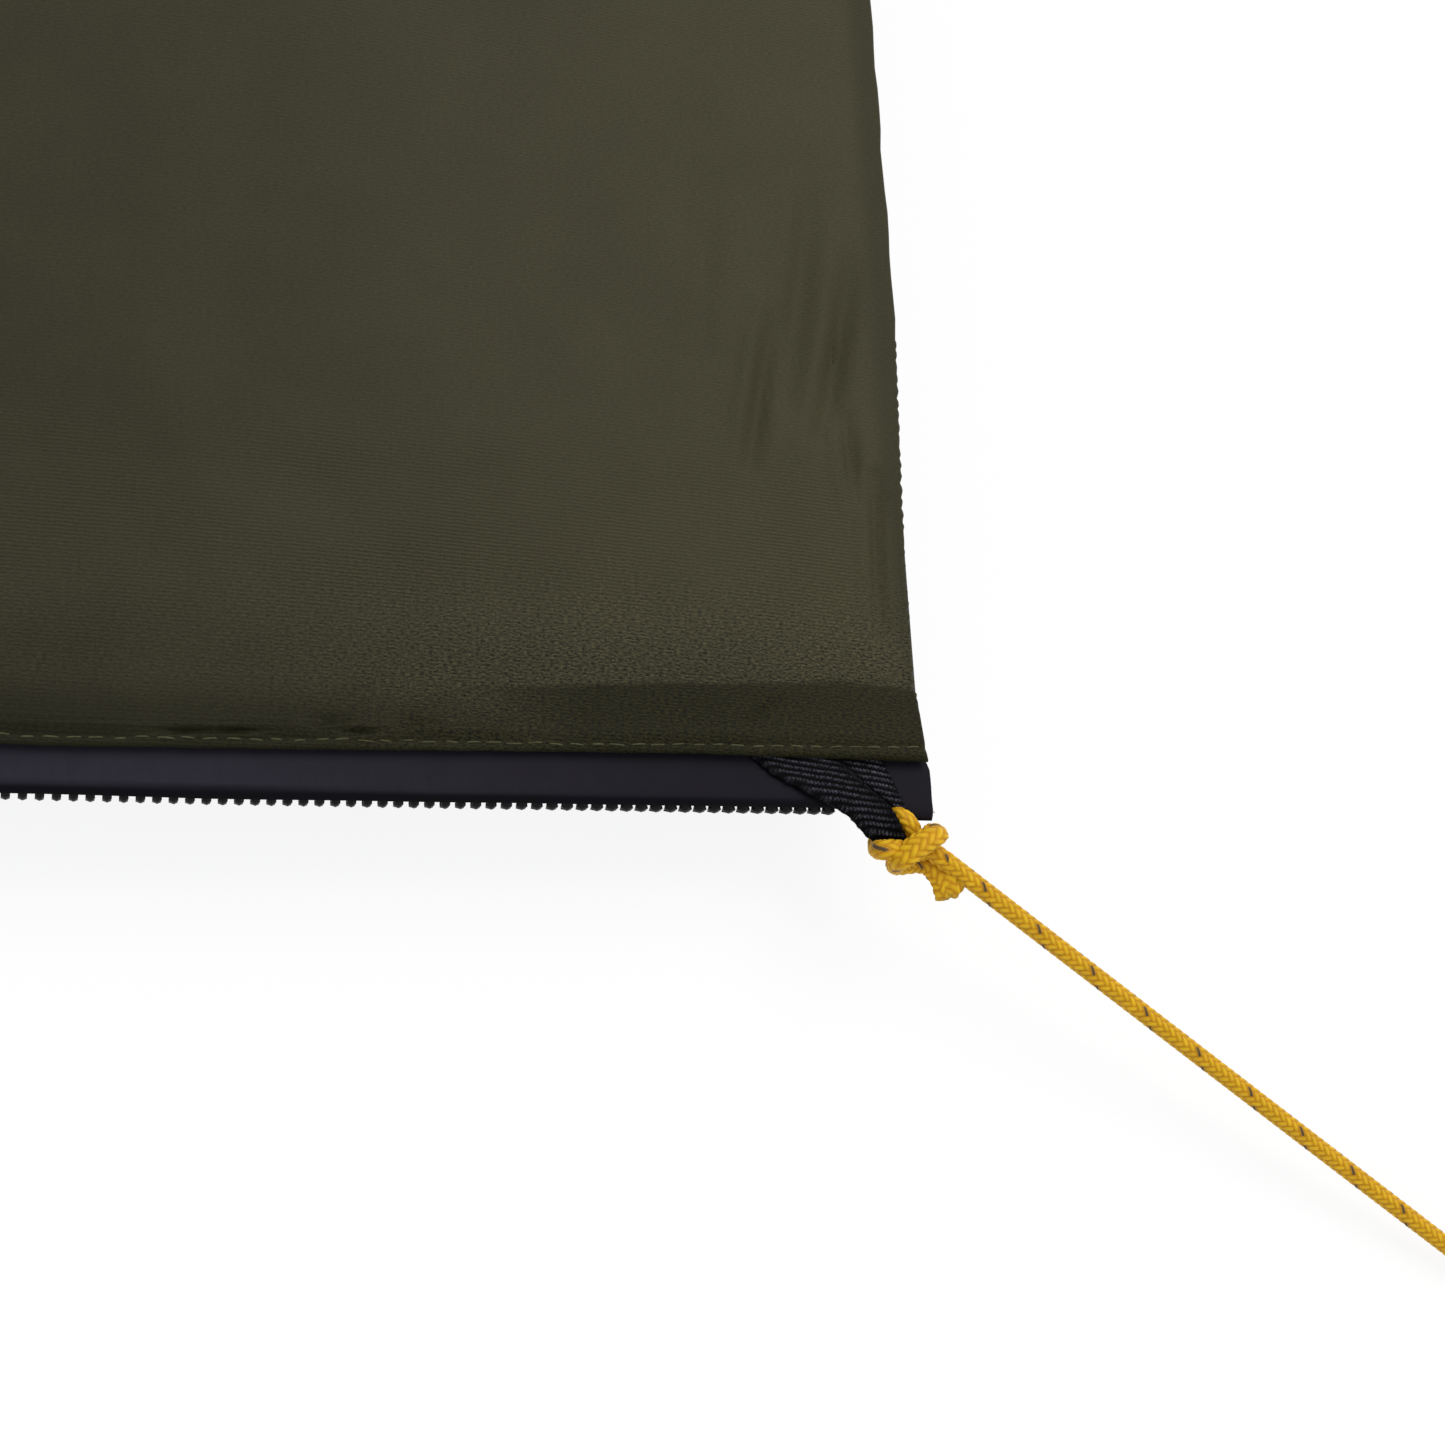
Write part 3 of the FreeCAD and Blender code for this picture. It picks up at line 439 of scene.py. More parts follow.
def hemmed_grid(foot, across, up):
    """A cloth's grid, turned under on all sides: x, y and drop of each point, its flat pattern,
    and which faces stay out at the corners, where one hem would lie inside the other."""
    columns, column_drops = across_hems(-half_width, half_width, across)
    rows, row_drops = across_hems(foot, head_edge, up)
    x, y = np.meshgrid(columns, rows)
    under_x, under_y = column_drops > under_drop, row_drops > under_drop
    drops = np.maximum(column_drops[None, :], row_drops[:, None])
    drops += 0.25 * under_y[:, None] * ease(385, 389, abs(x))
    x = tucked(x, row_drops[:, None], 1 - half_width, half_width - 1)
    y = tucked(y, column_drops[None, :], foot + 1, head_edge - 1)
    runs = [run_along(np.stack(pair, axis=-1))
            for pair in ((columns, column_drops), (rows, row_drops))]
    flats = np.stack(np.meshgrid(*(run - run[-1] / 2 for run in runs)), axis=-1)
    dropped = (under_y[:-1] & under_y[1:])[:, None] & (under_x[:-1] & under_x[1:])[None, :]
    return x, y, drops, flats, dropped


def dent(x, y, start, end, width, depth):
    """A crease: a soft groove along a short line, with a low ridge beside it."""
    sx, sy = start
    ex, ey = end
    run = math.hypot(ex - sx, ey - sy)
    share = np.clip(((x - sx) * (ex - sx) + (y - sy) * (ey - sy)) / run ** 2, 0, 1)
    away_x, away_y = x - (sx + share * (ex - sx)), y - (sy + share * (ey - sy))
    side = (away_x * (ey - sy) - away_y * (ex - sx)) / run
    away = np.hypot(away_x, away_y)
    groove = np.exp(-(away / width) ** 2)
    ridge = np.exp(-((side - 1.8 * width) / width) ** 2) * np.exp(-(away / (3 * width)) ** 2)
    return depth * (0.6 * ridge - groove) * np.sqrt(np.clip(1.2 - abs(share - 0.5) * 2, 0, 1))


# Creases by the foot's right corner and puckers along its stitching: each one's two ends, its
# width and its depth.
foot_creases = [
    ((393.0, -1026.0), (387.2, -1052.0), 1.8, 1.65),
    ((390.6, -1049.5), (391.6, -1062.0), 1.3, 1.20),
    ((380.4, -1034.0), (375.6, -1057.5), 1.5, 1.60),
    ((387.5, -1014.0), (381.2, -1047.5), 1.9, 0.95),
    ((394.6, -1058.0), (393.8, -1082.5), 1.2, 1.35),
    ((377.4, -1092.8), (373.6, -1096.4), 0.7, 0.55),
    ((371.0, -1014.0), (368.0, -1041.0), 2.4, 0.75),
    ((397.0, -1062.0), (397.4, -1084.0), 0.9, 0.55),
    ((294.0, -1099.75), (299.2, -1099.5), 0.38, 0.95),
    ((300.0, -1099.55), (305.8, -1099.3), 0.38, 1.00),
    ((312.6, -1099.05), (316.8, -1096.8), 0.60, 1.15),
    ((316.0, -1097.10), (321.5, -1091.5), 1.1, 0.80),
    ((317.2, -1099.10), (321.2, -1098.9), 0.5, 1.10),
    ((324.2, -1098.90), (327.4, -1097.2), 0.6, 1.10),
    ((326.5, -1097.60), (332.0, -1093.8), 0.9, 0.70),
    ((337.0, -1098.2), (341.5, -1094.5), 0.7, 0.35),
    ((348.0, -1098.0), (352.5, -1092.5), 0.8, 0.45),
]


def foot_stitch_line(x):
    """Where the foot hem's stitching runs."""
    return np.interp(x, [-400, 240, 281, 298, 315, 338, 396], [
        -1100.0, -1100.2, -1100.8, -1100.5, -1100.2, -1100.0, -1099.0
    ])


def tension_folds(x, y):
    """Folds that fan out from the corners, where the loops and the hems draw the cloth."""
    total = 0 * x
    for corner_x, corner_y, seed in ((-390, -1095, 2.0), (-390, 1095, 5.0), (390, 1095, 9.0)):
        ahead, aside = abs(y - corner_y), abs(x - corner_x)
        reach = np.hypot(ahead, aside)
        angle = np.arctan2(aside, ahead)
        fan = np.cos(angle * 16 + 3 * noise.noise(Vector((seed, 0, 0))) + 0.004 * reach)
        total = total + fan * ease(50, 170, reach) * ease(620, 220, reach)
    return total


def calm_foot(x):
    """How slack the cloth is above the foot stitching: least at the sack's corners."""
    return ease(399, 385, abs(x)) * (0.35 + 0.65 * ease(352, 330, abs(x)))


def cloth_top(x, y):
    """The top cloth's outer height at each place."""
    share = np.clip((y - loft_start) / loft_run, 0, 1)
    height = hem_height + loft * (1 - (1 - share) ** 3) * (1 - (x / half_width) ** 2)
    inside = ease(398, 330, abs(x)) * ease(-1080, -900, y) * ease(1099, 1020, y)
    height += 4.6 * inside * ripple(x, y, 85, 210, 3.1)
    height += 1.8 * inside * ripple(x + 0.25 * y, y, 34, 90, 7.4)
    height += 3.0 * ease(398, 370, abs(x)) * ease(-1020, -900, y) * tension_folds(x, y)
    calm = ease(399, 380, abs(x)) * ease(-1090, -1070, y) * ease(1098, 1080, y)
    height += 0.30 * calm * ripple(x, y, 13, 46, 1.7)
    height += 0.10 * calm * ripple(x, y, 5, 9, 5.2)
    band = ease(-1089.5, -1090.7, y)
    height += (0.22 * band - 0.30 * np.exp(-((y + 1090.2) / 0.6) ** 2)) * ease(345, 362, x)
    above = y - foot_stitch_line(x)
    drawn = 0.45 + 0.55 * ease(-0.25, 0.35, ripple(x, 0 * y, 9, 1, 9.6))
    height -= 0.45 * drawn * np.exp(-(above / 0.5) ** 2)
    height += 0.65 * drawn * calm_foot(x) * np.exp(-((above - 1.7) / 0.7) ** 2)
    for start, end, width, depth in foot_creases:
        height += dent(x, y, start, end, width, depth)
    return height


def foot_edge_shift(x):
    """How far the foot hem wanders in and out along its length."""
    known_x = [-400, 240, 280, 315, 346, 366, 400]
    known = [0.0, 0.0, -0.45, 0.03, 0.62, 0.85, 0.52]
    wander = 0.35 * ripple(x, 0 * x, 34, 1, 2.2) * ease(300, 200, x)
    return np.interp(x, known_x, known) + wander + 0.08 * ripple(x, 0 * x, 4, 1, 4.4)


def side_edge_shift(y, side):
    """How far a side edge wanders in and out along its length."""
    known_y = [-1102, -1099, -1090.2, -1071.9, -1055.3, -1035.6, -1018, -990]
    known = [-0.10, -0.50, -1.40, -1.45, -1.00, -0.30, -0.20, -0.30]
    wander = 0.7 * ripple(y + 900 * side, 0 * y, 60, 1, 6.6) - 0.4
    foot = np.interp(y, known_y, known)
    scallop = abs(np.sin(math.pi * (y + 0.9 * ripple(y, 0 * y, 3, 1, 8.1)) / 1.95)) - 0.6
    bumps = 0.44 * scallop * (0.7 + 0.6 * ripple(y, 0 * y, 5, 1, 3.3))
    bumps = bumps + 0.12 * ripple(y, 0 * y, 1.4, 1, 5.8)
    bumps = bumps * ease(-1096, -1089, y) * ease(-960, -1000, y)
    share = ease(-990, -940, y)
    return (foot + 0.22) * (1 - share) + wander * share + bumps


x, y, drops, flats, dropped = hemmed_grid(foot_edge, np.concatenate([
    np.arange(-398, 268, 8.4), np.arange(268, 372, 1.9), np.arange(372, 398.8, 0.95),
]), np.concatenate([
    np.arange(-1100.1, -1097, 0.24), np.arange(-1097, -1084, 0.65),
    np.arange(-1084, -1036, 0.56), np.arange(-1036, -975, 3.5), np.arange(-975, 1098, 18.5),
]))
x = x + np.sign(x) * ease(372, 397, abs(x)) * side_edge_shift(y, np.sign(x))
y = y + foot_edge_shift(x) * ease(-1088, -1098, y)
flats[..., 1] += 0.00022 * np.clip(x - 262, 0, None) ** 2
top_points = np.stack([x, y, cloth_top(x, y) - drops], axis=-1)
top_cloth = sheet("top_cloth", top_points, flats, cloth_thickness, dropped)

# What the finish reads: where the cloth is faded, where light and shade are painted on it,
# and where it is ribbed and rubbed.
px, py, _ = (points_of(top_cloth.data) / MM).T
near_foot = ease(-960, -1010, py) * ease(240, 270, px)
fading = 0.5 + 0.22 * ripple(px, py, 160, 240, 12.5)
# Painted light near the foot: the cloth is made lighter towards the right and towards the head.
foot_painted_light = 0.46 + 0.0046 * (np.clip(px, 255, None) - 335) + 0.0006 * (py + 1050)
foot_painted_light_share = ease(-820, -1010, py) * ease(100, 262, px)
mark(top_cloth, "faded_and_painted_light", np.clip(fading * (1 - foot_painted_light_share) + foot_painted_light * foot_painted_light_share, 0, 1))
fold_line = np.interp(px, [328, 388, 399], [-1092.2, -1089.5, -1090.2])
fold_line = fold_line + 0.3 * ripple(px, py, 9, 9, 2.8)
# Painted shade on the foot hem's band, along the fold at the right and on the side edges' roll.
mark(top_cloth, "hem_painted_shade", np.maximum.reduce([
    0.25 * ease(-1080, -1090, py) + 0.58 * ease(-1091, -1098, py),
    ease(0.4, -0.5, py - fold_line) * ease(318, 352, px),
    0.37 * ease(394.0, 397.5, abs(px)),
]))
ribs_shown = ease(-1048, -1070, py) * (1 - 0.35 * ease(-1078, -1088, py)) * ease(398, 388, px)
ribs_shown = ribs_shown * (0.80 + 0.20 * ease(272, 330, px))
ribs_shown = ribs_shown * (0.75 + 0.5 * ripple(px, py, 17, 9, 6.9)) * near_foot
mark(top_cloth, "ribbed", np.clip(0.12 + 0.88 * ribs_shown + 0.3 * (1 - near_foot), 0, 1))
rubbing = ease(-1070, -1092, py) * (0.25 + 0.85 * ease(290, 345, px))
mark(top_cloth, "rubbed", 0.16 + 0.84 * near_foot * rubbing)

# Nylon taffeta, piece-dyed olive and calendered: fine ribs of weft 0.54 mm apart that wander,
# a grain of uneven dye, small pale slubs where a filament stands up, and a dull surface. It
# is rubbed rougher near the hem and a little faded in places. Near the foot, light is painted
# on it, lighter towards the right and the head, and painted shade darkens its hems.
# A wave at scale 1 repeats every 0.314159, here of the flat pattern's millimetres.
wave_repeat = 0.314159
rib_spacing = 0.54
warp_spacing = 0.3
taffeta, shader = new_material("olive_nylon_taffeta")
flat = add(taffeta, "UVMap", {"uv_map": "flat_pattern"})
faded_and_painted_light, hem_painted_shade, ribbed, rubbed = (
    add(taffeta, "Attribute", {"attribute_name": name}, out="Fac")
    for name in ("faded_and_painted_light", "hem_painted_shade", "ribbed", "rubbed")
)
askew = add(taffeta, "Mapping", {"Rotation": (0, 0, math.radians(1.2)), "Vector": flat})
ribs = add(taffeta, "TexWave", {
    "wave_type": "BANDS", "bands_direction": "Y", "Scale": wave_repeat / rib_spacing,
    "Distortion": 2.6, "Detail": 3.0, "Detail Scale": 1.1, "Detail Roughness": 0.65,
    "Vector": askew,
}, out="Fac")
warp = add(taffeta, "TexWave", {
    "wave_type": "BANDS", "bands_direction": "X", "Scale": wave_repeat / warp_spacing,
    "Distortion": 2.0, "Detail": 1.0, "Vector": askew,
}, out="Fac")
stretched = add(taffeta, "Mapping", {"Scale": (0.6, 1.6, 1), "Vector": askew})
grain = add(taffeta, "TexNoise", {
    "Scale": 2.6, "Detail": 2.5, "Roughness": 0.8, "Vector": stretched,
})
slub = add(taffeta, "TexNoise", {
    "Scale": 1.6, "Detail": 3.0, "Roughness": 0.75, "Vector": stretched,
})
cloudy = add(taffeta, "TexNoise", {"Scale": 0.05, "Detail": 4.0, "Roughness": 0.6, "Vector": flat})
clouded = add(taffeta, "Math", {"operation": "MULTIPLY_ADD", 0: cloudy, 1: 0.5, 2: faded_and_painted_light})
dye_share = add(taffeta, "Math", {"operation": "SUBTRACT", 0: clouded, 1: 0.25})
# The dye's tone follows the fading and the light painted near the foot.
dyed = add(taffeta, "Mix", {
    "data_type": "RGBA", 0: dye_share, 6: colour("#2c2a1c"), 7: colour("#423f2c"),
}, out=2)
rib_tone = add(taffeta, "Math", {"operation": "MULTIPLY_ADD", 0: ribs, 1: 0.46, 2: -0.23})
rib_share = add(taffeta, "Math", {"operation": "MULTIPLY", 0: rib_tone, 1: ribbed})
grain_tone = add(taffeta, "Math", {"operation": "MULTIPLY_ADD", 0: grain, 1: 7.0, 2: -3.5})
grain_share = add(taffeta, "Math", {"operation": "MULTIPLY", 0: grain_tone, 1: rubbed})
woven_tone = add(taffeta, "Math", {"operation": "ADD", 0: rib_share, 1: grain_share})
whole_tone = add(taffeta, "Math", {"operation": "ADD", 0: woven_tone, 1: 1.0})
woven = add(taffeta, "HueSaturation", {"Value": whole_tone, "Color": dyed})
slub_spots = add(taffeta, "MapRange", {
    "From Min": 0.62, "From Max": 0.76, "To Max": 0.55, "Value": slub,
})
slub_share = add(taffeta, "Math", {"operation": "MULTIPLY", 0: slub_spots, 1: rubbed})
slubbed = add(taffeta, "Mix", {
    "data_type": "RGBA", 0: slub_share, 6: woven, 7: colour("#7d7862"),
}, out=2)
# Painted shade: the hems are darkened by a fixed colour.
hemmed = add(taffeta, "Mix", {
    "data_type": "RGBA", "blend_type": "MULTIPLY", 0: hem_painted_shade, 6: slubbed,
    7: (0.29, 0.29, 0.14, 1),
}, out=2)
weave_height = add(taffeta, "Math", {"operation": "MULTIPLY_ADD", 0: warp, 1: 0.5, 2: ribs})
rib_height = add(taffeta, "Math", {"operation": "MULTIPLY", 0: weave_height, 1: ribbed})
grain_height = add(taffeta, "Math", {"operation": "MULTIPLY", 0: slub, 1: rubbed})
rough_height = add(taffeta, "Math", {
    "operation": "MULTIPLY_ADD", 0: grain_height, 1: 1.6, 2: rib_height,
})
weave = add(taffeta, "Bump", {"Strength": 0.7, "Distance": 0.00008, "Height": rough_height})
add(taffeta, shader, {
    "Roughness": 0.6, "Specular IOR Level": 0.10, "Sheen Weight": 0.02, "Sheen Roughness": 0.45,
    "Base Color": hemmed, "Normal": weave,
})
top_cloth.data.materials.append(taffeta)
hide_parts("top_panel", "foot_hem_top", "side_hem_top", "head_hem_top")
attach(top_cloth, "sack")


# ---- ground cloth --------------------------------------------------------------------
# The same nylon with a thicker black coating on its underside. It lies flat on the ground,
# 33.5 mm shorter at the foot than the top cloth, with its edges turned up under the layers
# that are sewn on it.

ground_foot_edge = -1068
x, y, rise, flats, dropped = hemmed_grid(
    ground_foot_edge, np.linspace(-397, 397, 58), np.linspace(-1065, 1097, 150)
)
inside = ease(398, 370, abs(x)) * ease(-1066, -1040, y) * ease(1098, 1070, y)
level = 0.05 + 0.45 * inside * (1 + ripple(x, y, 60, 90, 9.3)) / 2
ground_points = np.stack([x, y, level + rise], axis=-1)
ground_cloth = sheet("ground_cloth", ground_points, flats, cloth_thickness, dropped, flip=True)
ground_cloth.data.materials.append(taffeta)
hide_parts("ground_panel", "foot_hem_ground", "side_hem_ground", "head_hem_ground")
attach(ground_cloth, "sack")


# ---- left gusset ---------------------------------------------------------------------
# A strip of the same cloth, turned in along both edges and sewn between the two cloths, so
# that they stand 22 mm apart. It bows outwards a little between the seams.

gusset_profile = np.array([
    (-392.6, 2.5), (-396.6, 2.5), (-398.4, 2.9), (-399.3, 4.6), (-399.7, 7.5), (-399.9, 11.0),
    (-399.7, 14.5), (-399.3, 17.4), (-398.4, 19.0), (-396.6, 19.5), (-392.6, 19.5),
])
bow = np.array([0, 0, 0.3, 0.8, 1.2, 1.4, 1.2, 0.8, 0.3, 0, 0])
along, across = np.meshgrid(
    np.linspace(-1067.5, 1087.5, 280), run_along(gusset_profile), indexing="ij"
)
profile_x, profile_z = (np.broadcast_to(part, along.shape) for part in gusset_profile.T)
gusset_points = np.stack([
    profile_x - 0.8 * bow * ripple(along, across, 38, 14, 3.3), along, profile_z,
], axis=-1)
gusset = sheet(
    "left_gusset_cloth", gusset_points, np.stack([across, along], axis=-1), cloth_thickness
)
gusset.data.materials.append(taffeta)
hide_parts("left_gusset")
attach(gusset, "sack")


# ---- zip tapes -----------------------------------------------------------------------
# Narrow polyester tapes with a smooth black coating outside, sewn in under the hems. The
# foot zip's top tape lies flat with the coil under it, whose turns show through as faint
# ribs. The others are turned to stand along the sack's edges.

tape_thickness = 0.75
flat_tape_level = 19.15
coil_pitch = 2.1
coil_start = -383.75
rib_at = 383.75
standing_foot_y = -1069.0
standing_side_x = 401.0


def tape(name, profile, along, place, flip=False):
    """A tape: its profile repeated along a run. place turns (along, out, up) into points."""
    profile = np.array(profile, float)
    a, s = np.meshgrid(along, run_along(profile), indexing="ij")
    out, up = (np.broadcast_to(part, a.shape) for part in profile.T)
    return sheet(name, place(a, out, up), np.stack([a, s], axis=-1), tape_thickness, flip=flip)


def flat_tape(a, y, z):
    """The foot zip's top tape: wavy, faintly ribbed over the coil, wider past its end stop."""
    edge = ease(-1100, -1106.7, y)
    reach = np.interp(a, [-400, 240, 300, 385, 389, 396], [0.35, 0.35, 0.70, 0.15, 0.5, 1.75])
    y = y - reach * edge + 0.12 * ripple(a, y, 19, 40, 1.9) * edge
    z = z + 0.16 * ripple(a, y, 24, 9, 4.1) * ease(-1100, -1104, y)
    over_coil = 0.05 * np.exp(-((y + 1105.1) / 0.9) ** 2) * ease(388, 384, a)
    z = z + over_coil * np.cos(2 * math.pi * (a - rib_at) / coil_pitch)
    cut = 0.16 * ripple(a + 0 * y, y, 3, 1.6, 6.3) - 2.7 * ease(-1101.5, -1097.5, y)
    return np.stack([a + cut * ease(390, 400.6, a), y, z], axis=-1)


level_part = [(y, flat_tape_level) for y in (
    -1092.4, -1096, -1099, -1100.5, -1101.5, -1102.5, -1103.4, -1104.1, -1104.8, -1105.3
)]
turned_down = [(-1105.8, 19.12), (-1106.2, 19.02), (-1106.5, 18.86), (-1106.7, 18.66)]
foot_tape_top = tape(
    "foot_zip_tape_flat", level_part + turned_down,
    np.concatenate([
        np.arange(-400, 268, 2.1), np.arange(268, 396, 0.42), np.linspace(396, 400.7, 14),
    ]), flat_tape, flip=True,
)
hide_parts("foot_zip_tape_top")


def foot_edge_tape(a, y, z):
    """The foot zip's ground tape stands along the foot edge."""
    return np.stack([a, y - 0.25 * ripple(a, z, 30, 12, 2.5) * ease(4, 8, z), z], axis=-1)


upright = [(7.0, 2.85), (4.6, 2.85), (2.4, 2.9), (1.2, 3.3), (0.45, 4.1), (0.1, 5.2), (0.0, 6.6),
           (0.0, 8.0), (0.05, 9.2)]
foot_tape_ground = tape(
    "foot_zip_tape_standing", [(standing_foot_y + out, z) for out, z in upright],
    np.linspace(-394.8, 390.8, 400), foot_edge_tape, flip=True,
)
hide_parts("foot_zip_tape_ground")


def side_tape(a, x, z):
    """The side zip's tapes stand along the right edge. Near the foot the top one's sewn edge
    is drawn in under the cloth's edge, clear of the slider's way."""
    x = x - 1.9 * ease(-900, -960, a) * ease(14, 17.6, z)
    x = x + 0.25 * ripple(a, z * 0, 40, 1, 7.7) * np.exp(-((z - 11) / 5) ** 2)
    return np.stack([x, a, z], axis=-1)


side_tape_ground = tape(
    "side_zip_tape_low", [(standing_side_x - out, z) for out, z in upright],
    np.linspace(-1065.8, 1094.8, 620), side_tape,
)
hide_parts("side_zip_tape_ground")
side_tape_top = tape(
    "side_zip_tape_high", [(standing_side_x - out, hem_height - z) for out, z in upright],
    np.linspace(-1090.0, 1094.8, 620), side_tape, flip=True,
)
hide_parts("side_zip_tape_top")

# The flat tape is darker towards the corner. A shadow is painted on it beside the webbing
# loop's edge, and painted shade runs along its rolled lower edge.
px, py, _ = (points_of(foot_tape_top.data) / MM).T
from_leg = (py + 1100.4) - (374.9 - px) * 0.66
loop_shadow = ease(-2.8, -0.5, from_leg) * ease(0.8, 0.2, from_leg) * ease(371, 376, px)
# Darker towards the corner; a painted shadow by the loop's leg; painted shade on the rolled edge.
mark(foot_tape_top, "darkening_and_painted_shade", np.maximum.reduce([
    0.52 * ease(285, 372, px), 0.97 * loop_shadow,
    0.9 * ease(-1106.2, -1106.8, py) * ease(391, 388, px),
]))

# Polyurethane-coated polyester tape: blue-black and matt, with the knit just telegraphing
# through the film. It is darker towards the corner, with a painted shadow by the loop and
# painted shade along its rolled edge.
knit_spacing = 0.7
coated_tape, shader = new_material("coated_polyester_tape")
flat = add(coated_tape, "UVMap", {"uv_map": "flat_pattern"})
film = add(coated_tape, "TexNoise", {
    "Scale": 0.25, "Detail": 4.0, "Roughness": 0.6, "Vector": flat,
})
film_tone = add(coated_tape, "Mix", {
    "data_type": "RGBA", 0: film, 6: colour("#24222a"), 7: colour("#2b2931"),
}, out=2)
# The dark colour below carries the painted shadow, the painted shade and the corner's darkening.
darkening_and_painted_shade = add(coated_tape, "Attribute", {"attribute_name": "darkening_and_painted_shade"}, out="Fac")
darkened_and_shaded_tone = add(coated_tape, "Mix", {
    "data_type": "RGBA", 0: darkening_and_painted_shade, 6: film_tone, 7: colour("#040306"),
}, out=2)
knit = add(coated_tape, "TexWave", {
    "wave_type": "BANDS", "bands_direction": "X", "Scale": wave_repeat / knit_spacing,
    "Distortion": 1.0, "Detail": 2.0, "Vector": flat,
}, out="Fac")
grain = add(coated_tape, "TexNoise", {"Scale": 3.5, "Detail": 3.0, "Vector": flat})
knit_height = add(coated_tape, "Math", {"operation": "MULTIPLY_ADD", 0: knit, 1: 0.35, 2: grain})
knit_bump = add(coated_tape, "Bump", {
    "Strength": 0.25, "Distance": 0.00006, "Height": knit_height,
})
add(coated_tape, shader, {
    "Roughness": 0.6, "Specular IOR Level": 0.05, "Base Color": darkened_and_shaded_tone,
    "Normal": knit_bump,
})
for each in (foot_tape_top, foot_tape_ground, side_tape_ground, side_tape_top):
    each.data.materials.append(coated_tape)
    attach(each, "sack")


# ---- zip coils -----------------------------------------------------------------------
# Each row is one polyester monofilament wound into a flat coil: every turn has a pressed
# head on the tape's free edge and runs back to the sewing line above and below the core.

side_row_x = 400.2
large_head, small_head = 1.42, 1.02


def turn_of_coil(head):
    """One turn of the coil, in millimetres: a ring extruded along it, placed and widened."""
    stations = [
        (-0.30, 3.45, 0.55, 0.34), (-0.15, 2.70, 0.20, 0.38), (0.0, 1.40, 0.14, 0.42),
        (0.0, 0.75, 0.20, head * 0.46), (0.0, 0.24, 0.52, head * 0.47),
        (0.0, 0.05, 1.10, head * 0.30), (0.0, 0.24, 1.68, head * 0.47),
        (0.0, 0.75, 2.00, head * 0.46), (0.0, 1.40, 2.06, 0.42), (0.3, 2.70, 2.00, 0.38),
        (0.62, 3.45, 1.65, 0.34), (0.95, 3.60, 1.10, 0.32),
    ]
    places = [Vector(station[:3]) for station in stations]
    courses = [
        math.atan2(after.z - before.z, after.y - before.y)
        for before, after in zip(places[:1] + places[:-1], places[1:] + places[-1:])
    ]
    turns = [math.remainder(b - a, 2 * math.pi) for a, b in zip(courses, courses[1:])]
    width = 0.33
    bpy.ops.object.select_all(action="DESELECT")
    bpy.ops.mesh.primitive_circle_add(
        vertices=6, radius=width, fill_type="NGON", location=places[0],
        rotation=(courses[0] - math.pi / 2, 0, 0),
    )
    turn = bpy.context.object
    bpy.ops.object.mode_set(mode="EDIT")
    bpy.ops.mesh.select_all(action="SELECT")
    for number, (place, station) in enumerate(zip(places, stations)):
        if number:
            step = place - places[number - 1]
            bpy.ops.mesh.extrude_region_move(TRANSFORM_OT_translate={"value": step})
            bpy.ops.transform.rotate(
                value=-turns[number - 1], orient_axis="X", orient_type="GLOBAL",
                center_override=place,
            )
        bpy.ops.transform.resize(value=(station[3] / width, 1, 1), center_override=place)
        width = station[3]
    bpy.ops.object.mode_set(mode="OBJECT")
    bpy.ops.object.transform_apply(location=True, rotation=True, scale=True)
    ring, faces = points_of(turn.data), [tuple(face.vertices) for face in turn.data.polygons]
    bpy.data.objects.remove(turn)
    return ring, faces


def copies(points, faces):
    """The faces of several like pieces, whose points are given as a list of arrays."""
    return [
        tuple(number * len(each) + corner for corner in face)
        for number, each in enumerate(points) for face in faces
    ]


def coil(name, start, end, head, place):
    """A row of turns from start to end. place turns (along, back, deep) into points."""
    ring, faces = turn_of_coil(head)
    turns = [
        ring + np.array((start + (turn + 0.5) * coil_pitch, 0, 0))
        for turn in range(int((end - start) / coil_pitch))
    ]
    placed = np.stack(place(*np.concatenate(turns).T), axis=-1)
    piece = piece_of(name, placed, copies(turns, faces))
    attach(piece, "sack")
    return piece


def under_flat_tape(along, back, deep):
    """The foot zip's top row hangs under its tape, heads outwards."""
    wave = np.array([0.16 * noise.noise(Vector((a / 24, 0, 4.1))) for a in along])
    tips = np.interp(along, [240, 300, 385], [-1107.7, -1108.05, -1107.7])
    from_middle = np.mod((along - coil_start) / coil_pitch, 1) - 0.5
    pressed_wider = 0.45 * ease(325, 365, along) * ease(0.45, 0.1, back)
    x = along + pressed_wider * from_middle * coil_pitch
    return x, tips + back, 18.30 - deep + wave


coil_foot_top = coil("foot_zip_coil_teeth_top", coil_start, 389.0, large_head, under_flat_tape)
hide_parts("foot_zip_coil_top")
coil_foot_ground = coil(
    "foot_zip_coil_teeth_ground", -388.75, 383.0, large_head,
    lambda along, back, deep: (along, -1068.2 + deep, 10.35 - back),
)
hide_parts("foot_zip_coil_ground")
coil_side_top = coil(
    "side_zip_coil_teeth_top", -1059.0, 1085.1, small_head,
    lambda along, back, deep: (side_row_x - deep, along, 10.55 + back),
)
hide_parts("side_zip_coil_top")
coil_side_ground = coil(
    "side_zip_coil_teeth_ground", -1057.95, 1085.1, small_head,
    lambda along, back, deep: (side_row_x - deep, along, 11.45 - back),
)
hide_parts("side_zip_coil_ground")


def mottled(name, dark, light, grain):
    """A material between two tones, in a grain of its own. It comes with its shader, that
    grain, and the place that a pattern reads."""
    material, shader = new_material(name)
    place = add(material, "TexCoord", out="Object")
    mottle = add(material, "TexNoise", {**grain, "Vector": place})
    tone = add(material, "Mix", {
        "data_type": "RGBA", 0: mottle, 6: colour(dark), 7: colour(light),
    }, out=2)
    add(material, shader, {"Base Color": tone})
    return material, shader, mottle, place


